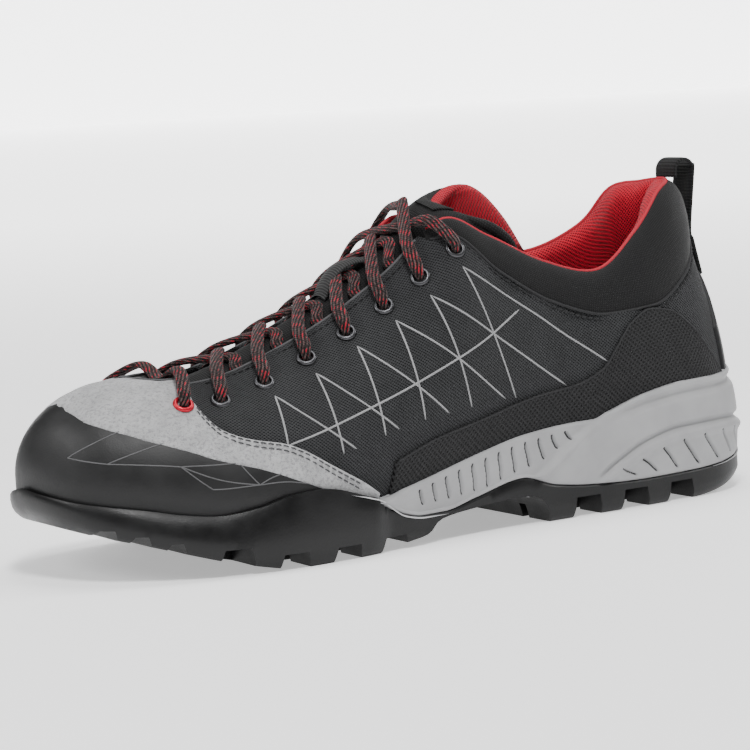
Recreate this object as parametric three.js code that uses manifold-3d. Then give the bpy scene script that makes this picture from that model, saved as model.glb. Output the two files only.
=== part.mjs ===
// A low approach shoe for the left foot, empty and standing on its sole.
// Millimetres. +X runs to the toe, +Y to the outer side of the foot, +Z up.
// The origin is on the floor, under the middle lug of the heel.
import * as THREE from "three";
import { mergeVertices } from "three/addons/utils/BufferGeometryUtils.js";
import Module from "manifold-3d";

const wasm = await Module();
wasm.setup();

// Driving sizes.
const LENGTH = 289; // outsole, heel to toe
const BALL_WIDTH = 103; // outsole across the ball of the foot
const COLLAR_HEIGHT = 113; // floor to the top of the collar, at the heel
const STACK = 25; // floor to the bottom edge of the upper, at the heel
const HEEL_SETBACK = 64; // back of the heel to the origin
const LUG_DEPTH = 5; // height of a lug
const TREAD_BASE = 2.2; // rubber between the lugs and the midsole
const WALL = 2.4; // cloth and lining of the upper
const RAND = 1.8; // rubber band around the toe
const SUEDE = 1.3; // suede over the front of the upper
const PANEL = 1.0; // moulded mesh along the sides, and the strip at the heel
const LIP = 2; // edge of the sole's cup
const TONGUE = 3.6; // padding of the tongue
const INSOLE = 4; // removable footbed
const WEBBING = 1.4; // thickness of the pull loop
const WEBBING_WIDTH = 12;
const LOOP_RADIUS = 4.8; // outside of the bend at the top of the pull loop
const LOOP_RISE = 7.4; // top of the pull loop above the collar
const LACE_WIDTH = 4.6;
const LACE_THICKNESS = 2.4;
const EYELET_RADIUS = 3.6; // outside of the flange
const EYELET_HOLE = 1.9; // radius of the hole for the lace
const EYELET_BARREL = 2.5; // radius of the part inside the cloth
const EYELET_RISE = 0.9; // height of the flange on the cloth
const EYELET_SIDES = 6;
const GAP = 0.3; // between pieces that touch
const SUEDE_SEAT = 0.9; // from the upper to the inside of the suede

// Sections of the upper, one row each, from the heel to the toe. x, topX and soleX are shares of LENGTH
// from the back of the heel; y, topY and soleY of BALL_WIDTH; z of STACK; topZ of COLLAR_HEIGHT.
// A section leaves its bottom edge at lean degrees from upright and reaches its top edge falling by
// fall degrees; low and high say how far each of the two directions carries, as shares of its height.
const COLUMNS = ["x", "y", "z", "topX", "topY", "topZ", "lean", "low", "fall", "high", "soleX", "soleY"];
const OUTER_SIDE = [
  [0.03, 0, 1, 0.072, 0, 1.005, 14, 0.3, 88, 0.3, 0.013, 0],
  [0.052, 0.18, 1, 0.085, 0.095, 1, 14, 0.3, 86, 0.3, 0.035, 0.198],
  [0.105, 0.28, 1, 0.122, 0.17, 0.972, 14, 0.3, 80, 0.3, 0.085, 0.312],
  [0.178, 0.315, 1, 0.178, 0.224, 0.862, 13, 0.3, 74, 0.3, 0.172, 0.354],
  [0.256, 0.322, 0.98, 0.248, 0.262, 0.757, 12, 0.32, 72, 0.3, 0.256, 0.37],
  [0.338, 0.328, 0.97, 0.325, 0.252, 0.8, 12, 0.34, 68, 0.32, 0.34, 0.378],
  [0.422, 0.35, 0.94, 0.395, 0.218, 0.893, 13, 0.36, 60, 0.32, 0.425, 0.392],
  [0.505, 0.385, 0.86, 0.453, 0.172, 0.955, 14, 0.38, 50, 0.32, 0.508, 0.416],
  [0.585, 0.42, 0.76, 0.528, 0.135, 0.806, 14, 0.4, 42, 0.34, 0.588, 0.45],
  [0.664, 0.442, 0.68, 0.606, 0.126, 0.69, 15, 0.42, 38, 0.36, 0.667, 0.487],
  [0.742, 0.442, 0.68, 0.686, 0.124, 0.604, 15, 0.44, 34, 0.4, 0.747, 0.5],
  [0.82, 0.41, 0.78, 0.763, 0.13, 0.546, 13, 0.46, 24, 0.42, 0.826, 0.472],
  [0.893, 0.328, 0.96, 0.826, 0.105, 0.536, 9, 0.52, 12, 0.46, 0.898, 0.39],
  [0.953, 0.19, 1.1, 0.862, 0, 0.545, 8, 0.58, 4, 0.52, 0.951, 0.235],
  [0.979, -0.02, 1.2, 0.885, -0.01, 0.535, 8, 0.62, 3, 0.54, 0.978, -0.03],
];
const INNER_SIDE = [
  [0.052, -0.17, 1, 0.085, -0.095, 1, 14, 0.3, 86, 0.3, 0.035, -0.193],
  [0.11, -0.257, 1, 0.12, -0.182, 0.985, 14, 0.3, 80, 0.3, 0.092, -0.295],
  [0.19, -0.278, 1, 0.162, -0.24, 0.87, 12, 0.3, 76, 0.3, 0.186, -0.322],
  [0.277, -0.27, 1, 0.24, -0.258, 0.8, 10, 0.32, 72, 0.3, 0.277, -0.32],
  [0.365, -0.273, 0.98, 0.325, -0.248, 0.83, 10, 0.34, 68, 0.32, 0.367, -0.316],
  [0.455, -0.293, 0.94, 0.395, -0.215, 0.9, 11, 0.36, 60, 0.32, 0.458, -0.34],
  [0.54, -0.335, 0.86, 0.453, -0.17, 0.955, 13, 0.38, 50, 0.32, 0.544, -0.384],
  [0.624, -0.383, 0.76, 0.528, -0.135, 0.806, 14, 0.4, 42, 0.34, 0.63, -0.44],
  [0.706, -0.414, 0.68, 0.606, -0.126, 0.69, 14, 0.42, 38, 0.36, 0.713, -0.478],
  [0.785, -0.412, 0.7, 0.686, -0.124, 0.604, 13, 0.44, 34, 0.4, 0.796, -0.478],
  [0.864, -0.378, 0.86, 0.763, -0.13, 0.546, 12, 0.46, 24, 0.42, 0.872, -0.444],
  [0.931, -0.3, 1.04, 0.826, -0.115, 0.536, 9, 0.52, 12, 0.46, 0.938, -0.36],
  [0.968, -0.17, 1.16, 0.862, -0.01, 0.545, 8, 0.58, 4, 0.52, 0.967, -0.195],
];

// Heights of the seams and edges above the floor, as pairs of a place and a share of COLLAR_HEIGHT.
// A place counts rows of the tables above: 0 is the back of the heel and 14 the tip of the toe.
const TOE_ROW = OUTER_SIDE.length - 1;
const RING = 2 * TOE_ROW;
const CLOSED_ROW = TOE_ROW - 1; // from here to the toe the two sides meet on the ridge
const CORNER_ROW = 7; // where the throat meets the collar
const COLLAR_SEAM = [
  [0, 0.835], [1, 0.8], [2, 0.71], [3, 0.625], [4, 0.615], [5, 0.67], [6, 0.78], [7, 0.905], [7.34, 0.893],
  [7.5, 0.92],
];
const COLLAR_END = CORNER_ROW + 1 / 3;
const PANEL_TOP = [
  [1.35, 0.36], [1.9, 0.47], [2.3, 0.555], [2.7, 0.605], [3.15, 0.618], [3.6, 0.58], [3.9, 0.522],
  [4.25, 0.452], [4.75, 0.415], [5.5, 0.398], [6.6, 0.354], [7.5, 0.318], [8.25, 0.265],
];
const BACKSTAY_TOP = [[0, 0.72], [0.5, 0.7], [0.9, 0.62], [1.3, 0.52]];
const SUEDE_TOP = [
  [8.35, 0.17], [8.7, 0.212], [9.3, 0.274], [10.1, 0.354], [10.6, 0.375], [11, 0.405], [11.2, 0.435],
  [11.4, 0.475], [11.5, 0.5], [11.66, 1],
];
const RAND_TOP = [
  [9.35, 0.215], [9.9, 0.257], [10.5, 0.301], [11.1, 0.336], [11.7, 0.38], [12.5, 0.425], [13, 0.455],
  [14, 0.49],
];
const SOLE_EDGE = [
  [0, 0.407], [1.5, 0.381], [2.7, 0.378], [3.4, 0.36], [4.2, 0.315], [4.45, 0.297], [4.85, 0.296],
  [5.7, 0.283], [6.6, 0.248], [7.5, 0.204], [8, 0.181], [8.4, 0.162], [8.6, 0.172], [9, 0.196], [9.3, 0.214], [9.6, 0.222],
  [10, 0.217], [10.5, 0.191], [11, 0.179], [11.5, 0.19], [12, 0.21], [12.5, 0.225], [13, 0.24], [13.5, 0.257],
  [14, 0.274],
];
const PARTING = [
  [0, 0.142], [0.8, 0.128], [1.6, 0.106], [2.7, 0.09], [3.6, 0.088], [4.6, 0.098], [5.2, 0.115], [5.75, 0.15],
  [6.6, 0.115], [7.2, 0.09], [7.6, 0.09], [7.9, 0.102], [8.4, 0.145],
];
const CUP_START = 8.4; // between this row and the toe the rubber covers the midsole

// Underside of the lugs: heights as shares of COLLAR_HEIGHT at shares of LENGTH.
const TREAD_LINE = [
  [0, 0.085], [0.025, 0.06], [0.066, 0.026], [0.1, 0.008], [0.135, 0], [0.72, 0], [0.755, 0.006],
  [0.78, 0.018], [0.824, 0.045], [0.87, 0.08], [0.91, 0.111], [0.955, 0.143], [0.99, 0.177], [1, 0.19],
];
// Hollow under the arch, seen from the side: shares of LENGTH and of COLLAR_HEIGHT.
const ARCH = [
  [0.362, -0.03], [0.37, 0.045], [0.385, 0.085], [0.42, 0.093], [0.475, 0.086], [0.53, 0.07], [0.552, 0.032],
  [0.594, 0.012], [0.62, -0.03],
];

const xAt = (share) => share * LENGTH - HEEL_SETBACK;
const SCALE = {
  x: LENGTH, topX: LENGTH, soleX: LENGTH,
  y: BALL_WIDTH, topY: BALL_WIDTH, soleY: BALL_WIDTH,
  z: STACK, topZ: COLLAR_HEIGHT,
};
const TABLE = [...OUTER_SIDE, ...INNER_SIDE.slice().reverse()];
const UP = new THREE.Vector3(0, 0, 1);
const radians = THREE.MathUtils.degToRad;
const wrap = (u) => ((u % RING) + RING) % RING;
const mirrored = (u) => (wrap(u) > TOE_ROW ? RING - wrap(u) : wrap(u));

// One column of the table at place u, on a smooth closed curve through the rows.
function column(name, u) {
  const at = COLUMNS.indexOf(name);
  const place = wrap(u);
  const row = Math.floor(place);
  const f = place - row;
  const [a, b, c, d] = [-1, 0, 1, 2].map((k) => TABLE[(row + k + RING) % RING][at]);
  const [square, cube] = [2 * a - 5 * b + 4 * c - d, 3 * b - a - 3 * c + d];
  const share = 0.5 * (2 * b + (c - a) * f + square * f * f + cube * f ** 3);
  const size = share * (SCALE[name] ?? 1);
  return name.toLowerCase().endsWith("x") ? size - HEEL_SETBACK : size;
}

// A height of one of the edge lists at place u, the same on both sides of the shoe.
function heightOn(list, place, scale = COLLAR_HEIGHT) {
  const last = list.length - 1;
  if (place <= list[0][0]) return list[0][1] * scale;
  for (let k = 1; k <= last; k++) {
    const [[p, h], [q, i]] = [list[k - 1], list[k]];
    if (place <= q) return (h + ((i - h) * (place - p)) / (q - p)) * scale;
  }
  return list[last][1] * scale;
}
const edge = (list, u) => heightOn(list, mirrored(u));
const treadAt = (x) => heightOn(TREAD_LINE, (x + HEEL_SETBACK) / LENGTH);

const TINY = 1e-6;
const STEP = 1e-3; // in rows, for slopes
const isClosed = (u) => mirrored(u) >= CLOSED_ROW - TINY;

function topPoint(u) {
  const own = new THREE.Vector3(column("topX", u), column("topY", u), column("topZ", u));
  if (!isClosed(u)) return own;
  const m = RING - wrap(u);
  const other = new THREE.Vector3(column("topX", m), column("topY", m), column("topZ", m));
  return own.add(other).multiplyScalar(0.5);
}

// Level direction that leaves the outline x, y at place u.
function outward(u, x = "x", y = "y") {
  const dx = column(x, u + STEP) - column(x, u - STEP);
  const dy = column(y, u + STEP) - column(y, u - STEP);
  return new THREE.Vector3(-dy, dx, 0).normalize();
}

// Outside of the upper at place u and share v of the way from its bottom edge to its top edge.
function upperPoint(u, v) {
  const bottom = new THREE.Vector3(column("x", u), column("y", u), column("z", u));
  const top = topPoint(u);
  const out = outward(u);
  const along = new THREE.Vector3(out.y, -out.x, 0);
  const height = top.z - bottom.z;
  const drift = along.clone().multiplyScalar(top.clone().sub(bottom).dot(along) / 3);
  const lean = radians(column("lean", u));
  const fall = radians(column("fall", u));
  const low = height * column("low", u);
  const high = height * column("high", u);
  const towards = (level, rise) => out.clone().multiplyScalar(level).addScaledVector(UP, rise);
  const leaving = towards(Math.sin(lean) * low, Math.cos(lean) * low);
  const arriving = towards(Math.cos(fall) * high, -Math.sin(fall) * high);
  const handles = [leaving.add(bottom).add(drift), arriving.add(top).sub(drift)];
  return new THREE.CubicBezierCurve3(bottom, ...handles, top).getPoint(v);
}

function upperNormal(u, v) {
  const w = Math.min(Math.max(v, STEP), 1 - STEP);
  const across = upperPoint(u + STEP, w).sub(upperPoint(u - STEP, w));
  const rise = upperPoint(u, w + STEP).sub(upperPoint(u, w - STEP));
  return rise.cross(across).normalize();
}

// The same surface moved out by offset. On the closed ridge both sides share one normal.
function skin(u, v, offset) {
  const normal = upperNormal(u, v);
  if (v > 1 - TINY && isClosed(u)) normal.add(upperNormal(RING - wrap(u), v)).normalize();
  return upperPoint(u, v).addScaledVector(normal, offset);
}

// Share v at which the upper is z high at place u.
const HALVINGS = 24;
function levelAt(u, z) {
  let [low, high] = [0, 1];
  for (let k = 0; k < HALVINGS; k++) {
    const middle = (low + high) / 2;
    if (upperPoint(u, middle).z < z) low = middle;
    else high = middle;
  }
  return low > 1 - STEP / 10 ? 1 : low;
}

// Solids. A face list becomes a manifold once vertices at one place are one vertex.
function closed(points, faces) {
  const flat = new THREE.BufferGeometry();
  flat.setAttribute("position", new THREE.Float32BufferAttribute(points.flatMap((p) => [p.x, p.y, p.z]), 3));
  flat.setIndex(faces.flat());
  return solid(flat);
}
function solid(geometry) {
  const plain = geometry.clone();
  plain.deleteAttribute("normal");
  plain.deleteAttribute("uv");
  const merged = mergeVertices(plain, 1e-3);
  const kept = [];
  const index = merged.index.array;
  for (let k = 0; k < index.length; k += 3) {
    const [a, b, c] = index.slice(k, k + 3);
    if (a !== b && b !== c && a !== c) kept.push(a, b, c);
  }
  const vertProperties = merged.attributes.position.array;
  return new wasm.Manifold(new wasm.Mesh({ numProp: 3, vertProperties, triVerts: new Uint32Array(kept) }));
}
const joined = (pieces) => pieces.reduce((a, b) => a.add(b));

// Rings of points, the lowest first, each running heel, outer side, toe, inner side, closed below and above.
function stack(rings) {
  const n = rings[0].length;
  const points = rings.flat();
  const faces = [];
  const quad = (a, b, c, d) => faces.push([a, b, c], [a, c, d]);
  for (let k = 0; k + 1 < rings.length; k++)
    for (let i = 0; i < n; i++) {
      const j = (i + 1) % n;
      quad(k * n + i, (k + 1) * n + i, (k + 1) * n + j, k * n + j);
    }
  const top = (rings.length - 1) * n;
  for (let i = 0; i < n / 2; i++) {
    const [a, b] = [(n - i) % n, n - i - 1];
    quad(i, i + 1, b, a);
    quad(top + a, top + b, top + i + 1, top + i);
  }
  return closed(points, faces);
}

// A wall over the upper's surface between the places from and to and between the heights low and high.
function wall({ from, to, extra, rows, low, high, inner, outer }) {
  const round = to - from >= RING;
  const places = round ? [...PLACES, RING] : placesBetween(from, to, extra);
  const columns = places.length - 1;
  const points = [];
  const at = (i, j, side) => ((round ? i % columns : i) * (rows + 1) + j) * 2 + side;
  for (const u of round ? places.slice(0, -1) : places) {
    const [a, b] = [low(u), high(u)];
    for (let j = 0; j <= rows; j++) {
      const v = a + ((b - a) * j) / rows;
      points.push(skin(u, v, outer), skin(u, v, inner));
    }
  }
  const faces = [];
  const quad = (a, b, c, d) => faces.push([a, b, c], [a, c, d]);
  for (let i = 0; i < columns; i++) {
    for (let j = 0; j < rows; j++) {
      quad(at(i, j, 0), at(i, j + 1, 0), at(i + 1, j + 1, 0), at(i + 1, j, 0));
      quad(at(i, j, 1), at(i + 1, j, 1), at(i + 1, j + 1, 1), at(i, j + 1, 1));
    }
    quad(at(i, 0, 0), at(i + 1, 0, 0), at(i + 1, 0, 1), at(i, 0, 1));
    const shut = [places[i], places[i + 1]].every((u) => isClosed(u) && high(u) === 1);
    if (!shut) quad(at(i, rows, 1), at(i + 1, rows, 1), at(i + 1, rows, 0), at(i, rows, 0));
  }
  if (!round)
    for (let j = 0; j < rows; j++) {
      quad(at(0, j, 1), at(0, j + 1, 1), at(0, j + 1, 0), at(0, j, 0));
      quad(at(columns, j, 0), at(columns, j + 1, 0), at(columns, j + 1, 1), at(columns, j, 1));
    }
  return closed(points, faces);
}

// Places of the columns of every solid: closer together round the toe and at the throat's corner.
const PLACES = [];
const TOE_ROWS = 3;
const COLUMNS_PER_ROW = { plain: 2, curved: 3 };
for (let row = 0; row < RING; row++) {
  const middle = mirrored(row + 0.5);
  const curved = middle > TOE_ROW - TOE_ROWS || Math.floor(middle) === CORNER_ROW;
  const steps = curved ? COLUMNS_PER_ROW.curved : COLUMNS_PER_ROW.plain;
  for (let k = 0; k < steps; k++) PLACES.push(row + k / steps);
}
const CLOSEST = 0.1; // in rows, between a solid's end and its next column
function placesBetween(from, to, extra = []) {
  const all = [...PLACES.map((u) => u - RING), ...PLACES, ...extra].sort((a, b) => a - b);
  const inside = all.filter((u) => u > from + CLOSEST && u < to - CLOSEST);
  return [from, ...inside, to];
}

// The upper's outside grown by offset, filled up to half of the collar's height. It cuts the sole's cup.
const ENVELOPE_LEVELS = [0, 0.12, 0.3, 0.55, 1];
function envelope(offset, drop) {
  const top = COLLAR_HEIGHT / 2;
  return stack(
    ENVELOPE_LEVELS.map((share) =>
      PLACES.map((u) => {
        const bottom = column("z", u);
        const p = skin(u, levelAt(u, bottom + (top - bottom) * share), offset);
        if (share === 0) p.z = bottom - drop;
        return p;
      }),
    ),
  );
}

// Side of the sole at place u: from the outline at height low to the lip on the upper at height high.
function soleSide(u, low, high, cover, share, bulge) {
  const out = outward(u, "soleX", "soleY");
  const bottom = new THREE.Vector3(column("soleX", u), column("soleY", u), low);
  const top = skin(u, levelAt(u, high), cover + LIP);
  top.z = high;
  return bottom.lerp(top, share).addScaledVector(out, bulge * Math.sin(Math.PI * share));
}
const TUCK = { heel: 2.2, cup: 1.3 }; // how far the outsole's bottom edge is set in from its side
const HIDDEN_INSET = 5; // midsole inside the rubber cup
const MIDSOLE_BULGE = 1.4;
const CUP_BULGE = 1.6;
const BEYOND = 4; // how far a block that cuts reaches past the piece that it cuts

const inCup = (u) => mirrored(u) >= CUP_START;
const COVER = RAND + 2 * GAP; // what lies on the upper inside the rubber cup
const CUP_DROP = 1.5; // from the upper's bottom edge to the floor of the rubber cup

// Trapezoid slots across the edge of the tread, as lists of their middle, a share of LENGTH.
const SLOT_WIDTH = 9;
const SLOT_FLARE = 1.2; // a slot's side slopes out by this much over a lug's depth
const SLOT_REACH = 17; // from the side towards the middle
const SLOT_FOOT = -8; // far below the tread
const HEEL_SLOTS = [0.155, 0.228, 0.301];
const BALL_SLOTS = [0.636, 0.706, 0.777];
const TOE_SLOTS = [0.835, 0.873, 0.91];
const TOE_SLOT_WIDTH = 3.4;
const TOE_SLOT_DEPTH = 0.6 * LUG_DEPTH;

function slot(share, width, depth, side) {
  const x = xAt(share);
  const z = treadAt(x);
  const half = width / 2;
  const shape = new THREE.Shape();
  shape.moveTo(-half - SLOT_FLARE, SLOT_FOOT);
  shape.lineTo(half + SLOT_FLARE, SLOT_FOOT);
  shape.lineTo(half + SLOT_FLARE, 0);
  shape.lineTo(half, depth);
  shape.lineTo(-half, depth);
  shape.lineTo(-half - SLOT_FLARE, 0);
  const geometry = new THREE.ExtrudeGeometry(shape, { depth: BALL_WIDTH, bevelEnabled: false });
  geometry.rotateX(Math.PI / 2); // the slot's height turns to +Z and its length to -Y
  const edgeY = side * (halfWidthAt(share, side) - SLOT_REACH);
  geometry.translate(x, side > 0 ? edgeY + BALL_WIDTH : edgeY, z);
  return solid(geometry);
}

// Half width of the sole outline at a share of its length, on one side.
const SEARCH_STEP = 1 / 8; // in rows
function halfWidthAt(share, side) {
  const x = xAt(share);
  const steps = Array.from({ length: TOE_ROW / SEARCH_STEP + 1 }, (_, k) => k * SEARCH_STEP);
  const places = steps.map((u) => (side > 0 ? u : RING - u));
  const away = (u) => Math.abs(column("soleX", u) - x);
  const near = places.reduce((a, b) => (away(b) < away(a) ? b : a));
  return Math.abs(column("soleY", near));
}

// A long groove where the slots end, along one edge of the tread.
const GROOVE = 4;
const GROOVE_STEPS = 6;
const HEEL_GROOVE = [0.07, 0.37];
const BALL_GROOVE = [0.58, 0.79];
const UNDER_TREAD = 2; // how far below the floor a block that cuts the tread starts
function groove([from, to], side) {
  const count = GROOVE_STEPS;
  const line = Array.from({ length: count + 1 }, (_, k) => from + ((to - from) * k) / count);
  const ys = line.map((s) => side * (halfWidthAt(s, side) - SLOT_REACH));
  const shape = new THREE.Shape();
  shape.moveTo(xAt(line[0]), ys[0] - GROOVE / 2);
  line.slice(1).forEach((s, k) => shape.lineTo(xAt(s), ys[k + 1] - GROOVE / 2));
  for (let k = count; k >= 0; k--) shape.lineTo(xAt(line[k]), ys[k] + GROOVE / 2);
  return treadCut(shape);
}
function treadCut(shape) {
  const geometry = new THREE.ExtrudeGeometry(shape, { depth: LUG_DEPTH + UNDER_TREAD, bevelEnabled: false });
  return solid(geometry.translate(0, 0, -UNDER_TREAD));
}

// Chevron slots across the middle lugs, pointing to the toe.
const CHEVRON = { width: 3.6, sweep: 6 };
const HEEL_CHEVRONS = { at: [0.14, 0.29], reach: 0.16 };
const BALL_CHEVRONS = { at: [0.635, 0.69, 0.745], reach: 0.3 };
function chevron(share, reach) {
  const x = xAt(share);
  const half = CHEVRON.width / 2;
  const shape = new THREE.Shape();
  shape.moveTo(x - half, -reach);
  shape.lineTo(x + half, -reach);
  shape.lineTo(x + half + CHEVRON.sweep, 0);
  shape.lineTo(x + half, reach);
  shape.lineTo(x - half, reach);
  shape.lineTo(x - half + CHEVRON.sweep, 0);
  return treadCut(shape);
}

function archHollow() {
  const shape = new THREE.Shape();
  shape.moveTo(xAt(ARCH[0][0]), ARCH[0][1] * COLLAR_HEIGHT);
  ARCH.slice(1).forEach(([s, h]) => shape.lineTo(xAt(s), h * COLLAR_HEIGHT));
  const geometry = new THREE.ExtrudeGeometry(shape, { depth: 2 * BALL_WIDTH, bevelEnabled: false });
  geometry.rotateX(Math.PI / 2);
  geometry.translate(0, BALL_WIDTH, 0);
  return solid(geometry);
}

const MIDSOLE_LEVELS = [0, 0.5, 1];
// The midsole's block before the cup is cut into it. grow is added all round for cutting the rubber.
function midsoleBlock(grow) {
  const base = (u) => {
    const x = column("soleX", u);
    return inCup(u) ? Math.max(treadAt(x), 0) + LUG_DEPTH + TREAD_BASE : edge(PARTING, u);
  };
  return stack(
    MIDSOLE_LEVELS.map((share) =>
      PLACES.map((u) => {
        const low = base(u) + GAP - grow;
        if (inCup(u)) {
          const p = new THREE.Vector3(column("soleX", u), column("soleY", u), 0);
          p.addScaledVector(outward(u, "soleX", "soleY"), grow - HIDDEN_INSET);
          p.z = low + (column("z", u) + grow - low) * share;
          return p;
        }
        const p = soleSide(u, low, edge(SOLE_EDGE, u) + grow, GAP, share, MIDSOLE_BULGE);
        return p.addScaledVector(outward(u, "soleX", "soleY"), grow > 0 ? BEYOND : 0);
      }),
    ),
  );
}

// Cuts in the sides of the midsole, between two heights and two places: the groove under its band, and
// windows whose cells leave ribs standing between them. Heights are shares of COLLAR_HEIGHT.
const CUT_DEPTH = 1;
const RIB_WIDTH = 0.075; // in rows
const GROOVE_HEIGHT = 1.6;
const FRONT_WINDOW = {
  from: 4.95, to: 7.85, cells: 11,
  low: [[4.95, 0.242], [5.75, 0.18], [6.5, 0.142], [7.85, 0.122]],
  high: [[4.95, 0.268], [5.75, 0.252], [6.6, 0.217], [7.85, 0.158]],
};
const HEEL_WINDOW = {
  from: 1, to: 4.15, cells: 7,
  low: [[1, 0.15], [1.6, 0.13], [2.7, 0.112], [4.15, 0.108]],
  high: [[1, 0.198], [2, 0.212], [2.9, 0.208], [3.5, 0.175], [4.15, 0.124]],
};
const BAND_GROOVE = [[0.6, 0.222], [2, 0.242], [2.9, 0.238], [3.5, 0.21], [4.2, 0.15]];
const BAND_GROOVE_PLACES = [0.6, 1.3, 2, 2.9, 3.5, 4.2];

function midsoleSide(u, z) {
  const [from, to] = [edge(PARTING, u) + GAP, edge(SOLE_EDGE, u)];
  return soleSide(u, from, to, GAP, (z - from) / (to - from), MIDSOLE_BULGE);
}
// A block that reaches CUT_DEPTH into the side between places, from low to high.
function sideCut(places, low, high) {
  const points = places.flatMap((u) => {
    const out = outward(u, "soleX", "soleY");
    const [a, b] = [midsoleSide(u, low(u)), midsoleSide(u, high(u))];
    const corner = (p, reach) => p.clone().addScaledVector(out, reach);
    return [corner(a, -CUT_DEPTH), corner(a, BEYOND), corner(b, BEYOND), corner(b, -CUT_DEPTH)];
  });
  const faces = [[0, 2, 1], [0, 3, 2]];
  const last = 4 * (places.length - 1);
  faces.push([last, last + 1, last + 2], [last, last + 2, last + 3]);
  for (let i = 0; i < last; i += 4)
    for (let j = 0; j < 4; j++) {
      const [a, b] = [i + j, i + ((j + 1) % 4)];
      faces.push([a, b + 4, a + 4], [a, b, b + 4]);
    }
  return closed(points, faces);
}
function sideCuts(side) {
  const place = (u) => (side > 0 ? u : RING - u);
  const ordered = (places) => (side > 0 ? places : places.map(place).reverse());
  const share = (list, extra) => (u) => edge(list, u) + extra;
  const cuts = [];
  for (const { from, to, cells, low, high } of [FRONT_WINDOW, HEEL_WINDOW]) {
    const step = (to - from) / cells;
    for (let k = 0; k < cells; k++) {
      const ends = [from + k * step + RIB_WIDTH / 2, from + (k + 1) * step - RIB_WIDTH / 2];
      cuts.push(sideCut(ordered(ends), share(low, 0), share(high, 0)));
    }
  }
  const half = GROOVE_HEIGHT / 2;
  cuts.push(sideCut(ordered(BAND_GROOVE_PLACES), share(BAND_GROOVE, -half), share(BAND_GROOVE, half)));
  return joined(cuts);
}

// A dark plug let into the back of the midsole, and the recess that it fills.
const PLUG = { width: 13, low: 0.24, high: 0.36, depth: 1.4 };
function plugBlock(grow) {
  const [low, high] = [PLUG.low * COLLAR_HEIGHT - grow, PLUG.high * COLLAR_HEIGHT + grow];
  const proud = grow > 0 ? BEYOND : 0;
  const back = Math.max(midsoleSide(0, low).x, midsoleSide(0, high).x) - proud;
  const box = new THREE.BoxGeometry(PLUG.depth + proud + grow, PLUG.width + 2 * grow, high - low);
  return solid(box.translate(back + (PLUG.depth + proud + grow) / 2, 0, (low + high) / 2));
}

const midsoleSolid = midsoleBlock(0)
  .subtract(envelope(GAP, GAP))
  .subtract(sideCuts(1))
  .subtract(sideCuts(-1))
  .subtract(plugBlock(GAP));

const OUTSOLE_LEVELS = [0, 0.4, 1];
function outsoleSolid() {
  const body = stack(
    OUTSOLE_LEVELS.map((share) =>
      PLACES.map((u) => {
        const x = column("soleX", u);
        const low = treadAt(x);
        const high = inCup(u) ? edge(SOLE_EDGE, u) : edge(PARTING, u);
        const out = outward(u, "soleX", "soleY");
        if (inCup(u)) {
          const p = soleSide(u, low, high, COVER, share, CUP_BULGE);
          return share === 0 ? p.addScaledVector(out, -TUCK.cup) : p;
        }
        const p = new THREE.Vector3(x, column("soleY", u), low + (high - low) * share);
        return p.addScaledVector(out, share === 0 ? -TUCK.heel : 0);
      }),
    ),
  );
  const cuts = [midsoleBlock(GAP), envelope(COVER, CUP_DROP), archHollow()];
  for (const side of [1, -1]) {
    for (const s of [...HEEL_SLOTS, ...BALL_SLOTS]) cuts.push(slot(s, SLOT_WIDTH, LUG_DEPTH, side));
    for (const s of TOE_SLOTS) cuts.push(slot(s, TOE_SLOT_WIDTH, TOE_SLOT_DEPTH, side));
    for (const stretch of [HEEL_GROOVE, BALL_GROOVE]) cuts.push(groove(stretch, side));
  }
  for (const { at, reach } of [HEEL_CHEVRONS, BALL_CHEVRONS])
    for (const s of at) cuts.push(chevron(s, reach * BALL_WIDTH));
  return body.subtract(joined(cuts));
}

const INSOLE_TAPER = 0.8; // its top edge is set in by this much
function insoleSolid() {
  const inset = WALL + 2 * GAP;
  const ring = (z, extra) =>
    PLACES.map((u) => {
      const p = new THREE.Vector3(column("x", u), column("y", u), column("z", u) + z);
      return p.addScaledVector(outward(u), -inset - extra);
    });
  return stack([ring(0, 0), ring(INSOLE, INSOLE_TAPER)]);
}

// Eyelets along the throat: places on the outer side and shares v, heel end last.
const EYELETS = [
  [11.6, 0.73], [10.97, 0.76], [10.24, 0.8], [9.52, 0.83], [8.84, 0.84], [8.18, 0.84], [7.57, 0.83],
  [6.92, 0.845],
];
function frameAt(u, v, offset) {
  const out = upperNormal(u, v);
  const along = upperPoint(u + STEP, v).sub(upperPoint(u - STEP, v)).normalize();
  const across = out.clone().cross(along).normalize();
  return new THREE.Matrix4().makeBasis(along, across, out).setPosition(skin(u, v, offset));
}
const SUEDE_CORNER = 11.5; // where the suede's edge climbs to the throat
const onSuede = (u) => mirrored(u) > SUEDE_CORNER;
const surfaceOffset = (u) => (onSuede(u) ? SUEDE + SUEDE_SEAT : 0);
const eyeletPlaces = EYELETS.flatMap(([u, v], k) => [
  { name: `eyelet_outer_${k + 1}`, u, v },
  { name: `eyelet_inner_${k + 1}`, u: RING - u, v },
]);
function eyeletGeometry(u, v) {
  const depth = WALL + surfaceOffset(u);
  const profile = [
    [EYELET_HOLE, -depth], [EYELET_BARREL, -depth], [EYELET_BARREL, GAP], [EYELET_RADIUS, GAP],
    [EYELET_HOLE, GAP + EYELET_RISE], [EYELET_HOLE, -depth],
  ];
  const lathe = new THREE.LatheGeometry(profile.map(([r, z]) => new THREE.Vector2(r, z)), EYELET_SIDES);
  lathe.rotateX(Math.PI / 2);
  return lathe.applyMatrix4(frameAt(u, v, surfaceOffset(u)));
}
const DRILL_LENGTH = 14;
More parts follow.
